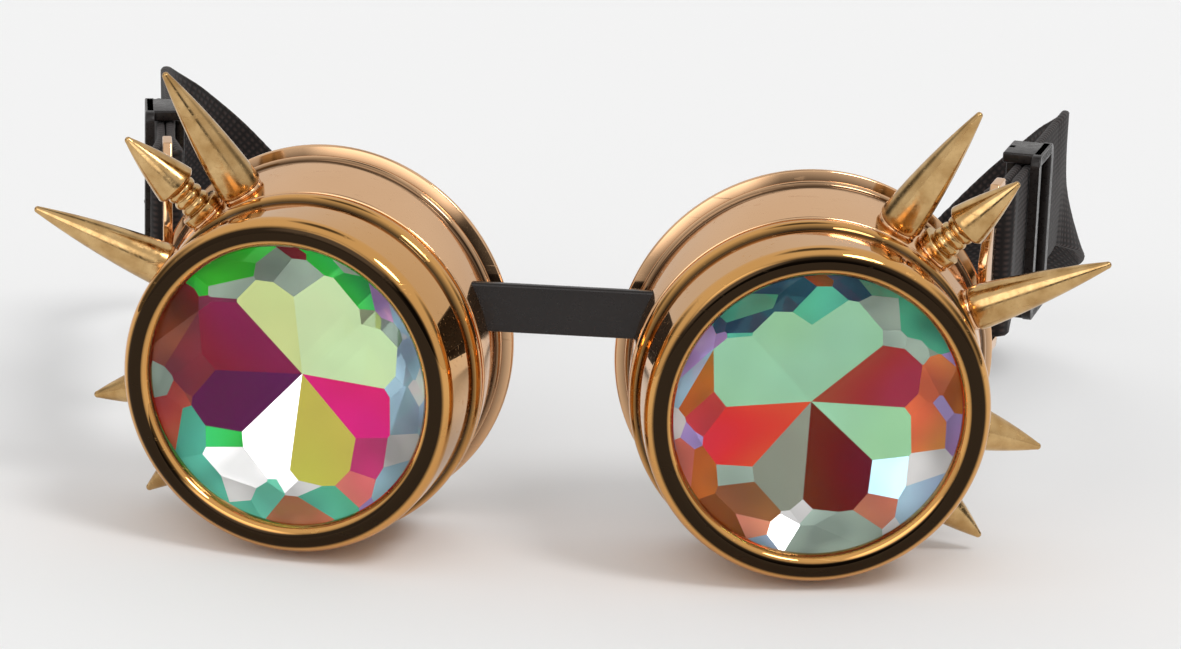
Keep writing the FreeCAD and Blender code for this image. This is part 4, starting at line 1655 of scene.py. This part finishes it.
@dataclass
class NoseBridge:
    """Soft strip between the cups, in two halves that meet in the middle."""

    thick: float = 1.8
    head_thick: float = 1.8  # the heads hold the ends of the strip
    head_edge: Rounding = Rounding(0.3, 3)
    edge: float = 0.5  # rounding along the strip
    edge_steps: int = 4
    steps: int = 16  # cuts along a half
    bend_share: float = 0.7  # share of a half's length

    def build(self, dresser: Dresser) -> None:
        """Build both halves and dress them.

        Args:
            dresser: dresses the halves.
        """
        low, high = (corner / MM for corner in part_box("nose_bridge"))
        for side in Side:
            piece = self.half(side, low, high)
            hinge = Vector(joint(side.label("cup_swing"))["pos_m"])
            side.label("cup")
            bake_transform(piece)
            dresser.dress(piece, "black_rubber", "nose_bridge", BRIDGE_RUBBER)

    def half(self, side: Side, low: Vector, high: Vector) -> bpy.types.Object:
        """One half of the strip with the head that holds its end.

        Args:
            side: which half.
            low: lowest corner of the whole strip.
            high: highest corner of the whole strip.

        Returns:
            The half as an object.
        """
        centre = (low + high) / 2
        reach = high.x - self.head_thick
        height = high.z - low.z
        work = Workpiece().block((reach, self.thick, height), (reach / 2, 0, 0))
        work.bevel(work.long_edges(reach / 2), self.edge, self.edge_steps)
        long_edges = work.long_edges(reach / 2)
        bmesh.ops.subdivide_edges(work.bm, edges=long_edges, cuts=self.steps, use_grid_fill=True)
        head_size = (self.head_thick, high.y - low.y, height)
        head = Workpiece().block(head_size, (reach + self.head_thick / 2, 0, 0))
        work.join(head.soften(self.head_edge))
        place = Matrix.Translation(Vector((0, centre.y, centre.z)) * MM) @ Matrix.Scale(MM, 4)
        if side is Side.LEFT:
            place = place @ Matrix.Rotation(math.pi, 4, "Z")
        return work.shape(f"bridge_strip_{side.word}", place)


# Middle line of one half of the strap behind its straight run, with the lean of its upper edge outwards.
BACK_ROUTE = [
    (Vector((84.0, 90.0, 11.0)), -14.0),
    (Vector((79.5, 104.0, 1.5)), -34.0),
    (Vector((66.5, 116.5, -11.5)), -56.0),
    (Vector((47.5, 125.5, -21.5)), -74.0),
    (Vector((25.0, 131.5, -27.0)), -85.0),
    (Vector((8.0, 133.5, -28.7)), -89.0),
    (Vector((0.0, 133.6, -28.8)), -90.0),
]


def smooth_way(spots: list[Vector], steps: int) -> list[Vector]:
    """Points of a smooth way through some spots, with one cubic curve per stretch.

    Args:
        spots: spots on the way.
        steps: points per stretch.

    Returns:
        The points, from the first spot to the last.
    """
    way = [spots[0]]
    for index in range(len(spots) - 1):
        before, start = spots[max(index - 1, 0)], spots[index]
        end, after = spots[index + 1], spots[min(index + 2, len(spots) - 1)]
        for step in range(1, steps + 1):
            share = step / steps
            way.append(
                0.5 * (2 * start + (end - before) * share
                       + (2 * before - 5 * start + 4 * end - after) * share * share
                       + (3 * start - before - 3 * end + after) * share**3)
            )
    return way


@dataclass
class HeadStrap:
    """Elastic strap: round each ear's bar, through the slider, and round behind the cups."""

    cups: dict[Side, EyeCup]
    width: float = 25.0
    thick: float = 1.4
    selvedge: float = 0.35  # width of the rounded edge
    selvedge_tip: float = 0.08
    selvedge_share: float = 0.6  # thickness at the tip's start
    layer_gap: float = 0.3  # between the two layers of the fold
    play: float = 0.2  # round the ear's bar
    taper: float = 9.0  # where the fold opens round the bar
    tail: float = 39.0  # end of the folded tail
    run: float = 56.0  # end of the straight run
    step: float = 0.7  # from rib to rib
    rib: float = 0.06  # how much a rib swells
    loop_step: int = 15  # angle between points on the half turn round the bar
    way_steps: int = 8  # points per stretch behind the cups

    def bar_place(self, side: Side) -> Matrix:
        """Axes at the bar of an ear: X runs back along the strap, Y outwards, Z up.

        Args:
            side: which end of the strap.

        Returns:
            Matrix from the strap's millimetres to the frame's metres.
        """
        cup = self.cups[side]
        ear = eye_axes(side) @ cup.ear_place()
        bar = ear @ Vector((cup.ear_length - cup.ear_bar / 2, 0, 0))
        along = (ear.to_3x3() @ Vector((1, 0, 0))).normalized()
        outwards = Vector((along.y, -along.x, 0)) * side.value
        place = Matrix((along, outwards, UP)).transposed().to_4x4()
        place.translation = bar
        return place @ Matrix.Scale(MM, 4)

    def route(self, side: Side) -> list[tuple[Vector, float]]:
        """Middle line of one half of the strap, from its tail to the middle of the back.

        Args:
            side: which half.

        Returns:
            Points in millimetres of the frame, each with the lean of the upper edge outwards.
        """
        place = Matrix.Scale(1 / MM, 4) @ self.bar_place(side)
        cup = self.cups[side]
        layer = (self.thick + self.layer_gap) / 2
        loop = math.hypot(cup.ear_bar, cup.ear_thick) / 2 + self.play + self.thick / 2
        fold = [(self.tail, layer), (self.taper, layer)]
        turns = [math.radians(angle) for angle in range(90, 271, self.loop_step)]
        fold += [(loop * math.cos(turn), loop * math.sin(turn)) for turn in turns]
        fold += [(self.taper, -layer), (self.run, -layer), (self.run + self.taper, -layer)]
        near = [(place @ Vector((along, across, 0)), 0.0) for along, across in fold]
        knots = [Vector((*spot, lean)) for spot, lean in near[-2:]]
        knots += [Vector((spot.x * side.value, spot.y, spot.z, lean)) for spot, lean in BACK_ROUTE]
        return near[:-2] + [(knot.xyz, knot.w) for knot in smooth_way(knots, self.way_steps)]

    def build(self, dresser: Dresser) -> None:
        """Build both halves and dress them.

        Args:
            dresser: dresses the halves.
        """
        for side in Side:
            piece = self.half(side)
            start = self.bar_place(side) @ Vector((self.run - self.taper, 0, 0))
            side.label("cup")
            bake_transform(piece)
            dresser.dress(piece, "elastic_strap", "head_strap", STRAP_ELASTIC)

    def stations(self, side: Side, spots: list[tuple[Vector, float]]) -> list[Matrix]:
        """Places of the strap's section, every second one swollen to a rib.

        Args:
            side: which half.
            spots: points of the route with their leans.

        Returns:
            A place per point: X runs across the strap, Y through it and Z along it.
        """
        places = []
        for index, (spot, lean) in enumerate(spots):
            before = spots[max(index - 1, 0)][0]
            mirrored = Vector((-before.x, before.y, before.z))
            after = spots[index + 1][0] if index + 1 < len(spots) else mirrored
            along = (after - before).normalized()
            level = along.cross(UP).normalized() * side.value
            upright = along.cross(level).normalized()
            upright = upright if upright.z > 0 else -upright
            turn = Matrix.Rotation(math.radians(lean) * side.value, 3, along)
            across, through = turn @ upright, turn @ level
            place = Matrix((across, through, across.cross(through))).transposed().to_4x4()
            place.translation = spot
            swell = 1 + (self.rib if index % 2 else -self.rib)
            places.append(place @ Matrix.Diagonal((1, swell, 1, 1)))
        return places

    def half(self, side: Side) -> bpy.types.Object:
        """One half of the strap as a ribbed ribbon.

        Args:
            side: which half.

        Returns:
            The half as an object, with its "ribbon" map.
        """
        stations = self.stations(side, self.even(self.route(side)))
        work = Workpiece()
        rows = work.sweep(self.section(), stations)
        spread = {}
        travelled = 0.0
        before = stations[0]
        for row, place in zip(rows, stations):
            travelled += (place.translation - before.translation).length
            before, back = place, place.inverted()
            for vert in row:
                spread[vert] = (travelled * MM, (back @ vert.co).x * MM)
        chart = work.bm.loops.layers.uv.new("ribbon")
        for face in work.bm.faces:
            for loop in face.loops:
                loop[chart].uv = spread[loop.vert]
        return work.shape(f"strap_half_{side.word}", Matrix.Scale(MM, 4), SMOOTH_RIBBED)

    def section(self) -> list[Corner]:
        """Cross-section of the ribbon with rounded selvedges.

        Returns:
            Its corners, across and through the strap.
        """
        half, deep = self.width / 2, self.thick / 2
        tip = (half - self.selvedge_tip, deep * self.selvedge_share)
        edge = [(half - self.selvedge, deep), tip, (half, 0.0)]
        upper = [(-x, y) for x, y in edge[::-1]] + [(0.0, deep)] + edge
        lower = [(x, -y) for x, y in upper[1:-1][::-1]]
        return upper + lower

    def even(self, spots: list[tuple[Vector, float]]) -> list[tuple[Vector, float]]:
        """Set out even steps along a route.

        Args:
            spots: points of the route with their leans.

        Returns:
            Points a step apart.
        """
        result = [spots[0]]
        rest = self.step
        for (start, lean), (end, next_lean) in zip(spots, spots[1:]):
            length = (end - start).length
            place = rest
            while place < length:
                share = place / length
                result.append((start.lerp(end, share), lean + (next_lean - lean) * share))
                place += self.step
            rest = place - length
        result.append(spots[-1])
        return result


@dataclass
class StrapSlider:
    """Three-bar slider on the strap."""

    strap: HeadStrap
    side: Side
    place: float = 24.0  # distance along the strap from the ear's bar
    length: float = 14.0  # along the strap
    bar: float = 2.2
    thick: float = 1.6
    rail: float = 1.9
    corner: float = 2.0
    corner_steps: int = 8
    fit: float = 0.3  # room round the strap
    edge: Rounding = Rounding(0.35, 3)

    def build(self, dresser: Dresser) -> None:
        """Build the slider and hand it over.

        Args:
            dresser: dresses the slider.
        """
        room = self.strap.width / 2 + self.fit
        half = self.length / 2
        height = room + self.rail
        under = self.strap.thick + self.strap.layer_gap / 2 + self.fit
        middle = under + self.thick / 2
        window = half - self.bar
        work = Workpiece()
        work.plate([-half, -window, window, half], [-height, -room, room, height], (1, 1), self.thick)
        corners = [(x, y) for x in (-half, half) for y in (-height, height)]
        work.round_uprights(self.corner, self.corner_steps, corners)
        work.soften(self.edge).move(Matrix.Translation((0, 0, middle)))
        rail = (2 * (half - self.corner), self.rail, 2 * (under + self.thick))
        blocks = [(rail, (0, end * (room + self.rail / 2), 0)) for end in (-1, 1)]
        blocks.append(((self.bar, 2 * height, self.thick), (0, 0, -middle)))
        work.join(*(Workpiece().block(*block).soften(self.edge) for block in blocks))
        work.move(Matrix(((1, 0, 0, self.place), (0, 0, 1, 0), (0, 1, 0, 0), (0, 0, 0, 1))))
        work.face_out()
        label = self.side.label
        piece = work.shape(label("slider_frame"), self.strap.bar_place(self.side))
        dresser.hand_over(piece, label("slider"), "slider_black", label("strap_slider"), SLIDER_PLASTIC)


@dataclass(frozen=True)
class RoomPlace:
    """A round brighter or darker place in the studio's surround.

    Attributes:
        azimuth: angle from the front, towards +X.
        elevation: angle above the floor.
        inner: half angle of its even middle.
        outer: half angle where it has faded out.
        level: its brightness.
    """

    azimuth: float
    elevation: float
    inner: float
    outer: float
    level: float


ROOM = (
    RoomPlace(azimuth=14.0, elevation=4.0, inner=12.0, outer=28.0, level=0.12),
    RoomPlace(azimuth=105.0, elevation=10.0, inner=8.0, outer=26.0, level=0.1),
    RoomPlace(azimuth=-100.0, elevation=10.0, inner=8.0, outer=26.0, level=0.1),
    RoomPlace(azimuth=180.0, elevation=74.0, inner=7.0, outer=17.0, level=0.12),
    RoomPlace(azimuth=-14.0, elevation=28.0, inner=15.0, outer=22.0, level=2.6),
)


@dataclass
class Studio:
    """Pale floor, soft light and the camera of the photograph."""

    azimuth: float = 4.45  # of the camera
    elevation: float = 15.75
    roll: float = 1.85
    distance: float = 650.0
    focal_pixels: float = 4057.0  # focal length in pixels of the photograph
    aim: Triple = (6.0, -28.52, 13.3)
    sensor: float = 36.0
    near: float = 0.01  # nearest distance that the camera sees, in metres
    floor_size: float = 14.0  # in metres
    key_azimuth: float = 50.0
    key_elevation: float = 52.0
    key_strength: float = 0.75
    key_spread: float = 16.0  # angle of its disc
    horizon: Colour = (0.82, 0.81, 0.8, 1)
    zenith: Colour = (0.95, 0.95, 0.95, 1)
    sky_span: Span = (0.05, 0.6)  # heights between which horizon turns to zenith
    sky_strength: float = 0.87

    def build(self) -> None:
        """Set up floor, world, lamp and camera."""
        bpy.context.scene.view_settings.view_transform = "Standard"
        self.floor()
        self.world()
        self.lamp()
        self.camera()

    def floor(self) -> None:
        """Plain pale floor under the lowest point."""
        work = Workpiece()
        place = Matrix.Translation((0, 0, CAD_BOX[0].z))
        bmesh.ops.create_grid(work.bm, x_segments=1, y_segments=1, size=self.floor_size / 2, matrix=place)
        floor = work.shape("floor", Matrix.Identity(4))
        floor.data.materials.append(FLOOR_PAPER.material())

    def world(self) -> None:
        """Soft pale surround with the brighter and darker places of a photographer's room."""
        world = bpy.data.worlds.new("studio")
        world.use_nodes = True
        bpy.context.scene.world = world
        sheet = NodeSheet(world.node_tree)
        way = sheet.add("TexCoord").outputs["Generated"]
        level = sheet.add("SeparateXYZ", {"Vector": way}).outputs["Z"]
        tone = sheet.mix(sheet.span(level, self.sky_span), self.horizon, self.zenith)
        for place in ROOM:
            middle = heading(place.azimuth, place.elevation)
            facing = sheet.add("VectorMath", {0: way, 1: middle}, operation="DOT_PRODUCT").outputs["Value"]
            edges = tuple(math.cos(math.radians(angle)) for angle in (place.outer, place.inner))
            tone = sheet.mix(sheet.span(facing, edges), tone, (place.level, place.level, place.level, 1))
        background = world.node_tree.nodes["Background"]
        sheet.fill(background, {"Color": tone, "Strength": self.sky_strength})

    def lamp(self) -> None:
        """Wide soft key lamp."""
        light = bpy.data.lights.new("key", "SUN")
        light.energy = self.key_strength
        light.angle = math.radians(self.key_spread)
        lamp = bpy.data.objects.new("key", light)
        source = heading(self.key_azimuth, self.key_elevation)
        lamp.rotation_euler = source.to_track_quat("Z", "Y").to_euler()
        bpy.context.scene.collection.objects.link(lamp)

    def camera(self) -> None:
        """Camera at the photograph's viewing angle."""
        back = heading(self.azimuth, self.elevation)
        right = UP.cross(back).normalized()
        rise = back.cross(right)
        roll = math.radians(self.roll)
        level = right * math.cos(roll) + rise * math.sin(roll)
        upright = rise * math.cos(roll) - right * math.sin(roll)
        place = Matrix((level, upright, back)).transposed().to_4x4()
        place.translation = (Vector(self.aim) + back * self.distance) * MM
        lens = bpy.data.cameras.new("camera")
        lens.sensor_fit = "HORIZONTAL"
        lens.sensor_width = self.sensor
        lens.lens = self.focal_pixels * self.sensor / PHOTO_WIDTH
        lens.clip_start = self.near
        camera = bpy.data.objects.new("camera", lens)
        camera.matrix_world = place
        bpy.context.scene.collection.objects.link(camera)
        bpy.context.scene.camera = camera


def main() -> None:
    """Build the whole scene."""
    logging.basicConfig(level=logging.INFO)
    dresser = Dresser()
    cups = {side: EyeCup(side) for side in Side}
    strap = HeadStrap(cups)
    for side, cup in cups.items():
        cup.build(dresser)
        ScrewCap(side).build(dresser)
        CrystalLens(side).build(dresser)
        SpikeSet(cup).build(dresser)
        StrapSlider(strap, side).build(dresser)
        gasket = frame["nodes"][side.label("lens_gasket")]
        gasket.data.materials.clear()
        gasket.data.materials.append(dresser.material(BRIDGE_RUBBER))
    NoseBridge().build(dresser)
    strap.build(dresser)
    Studio().build()


if __name__ == "__main__":
    main()
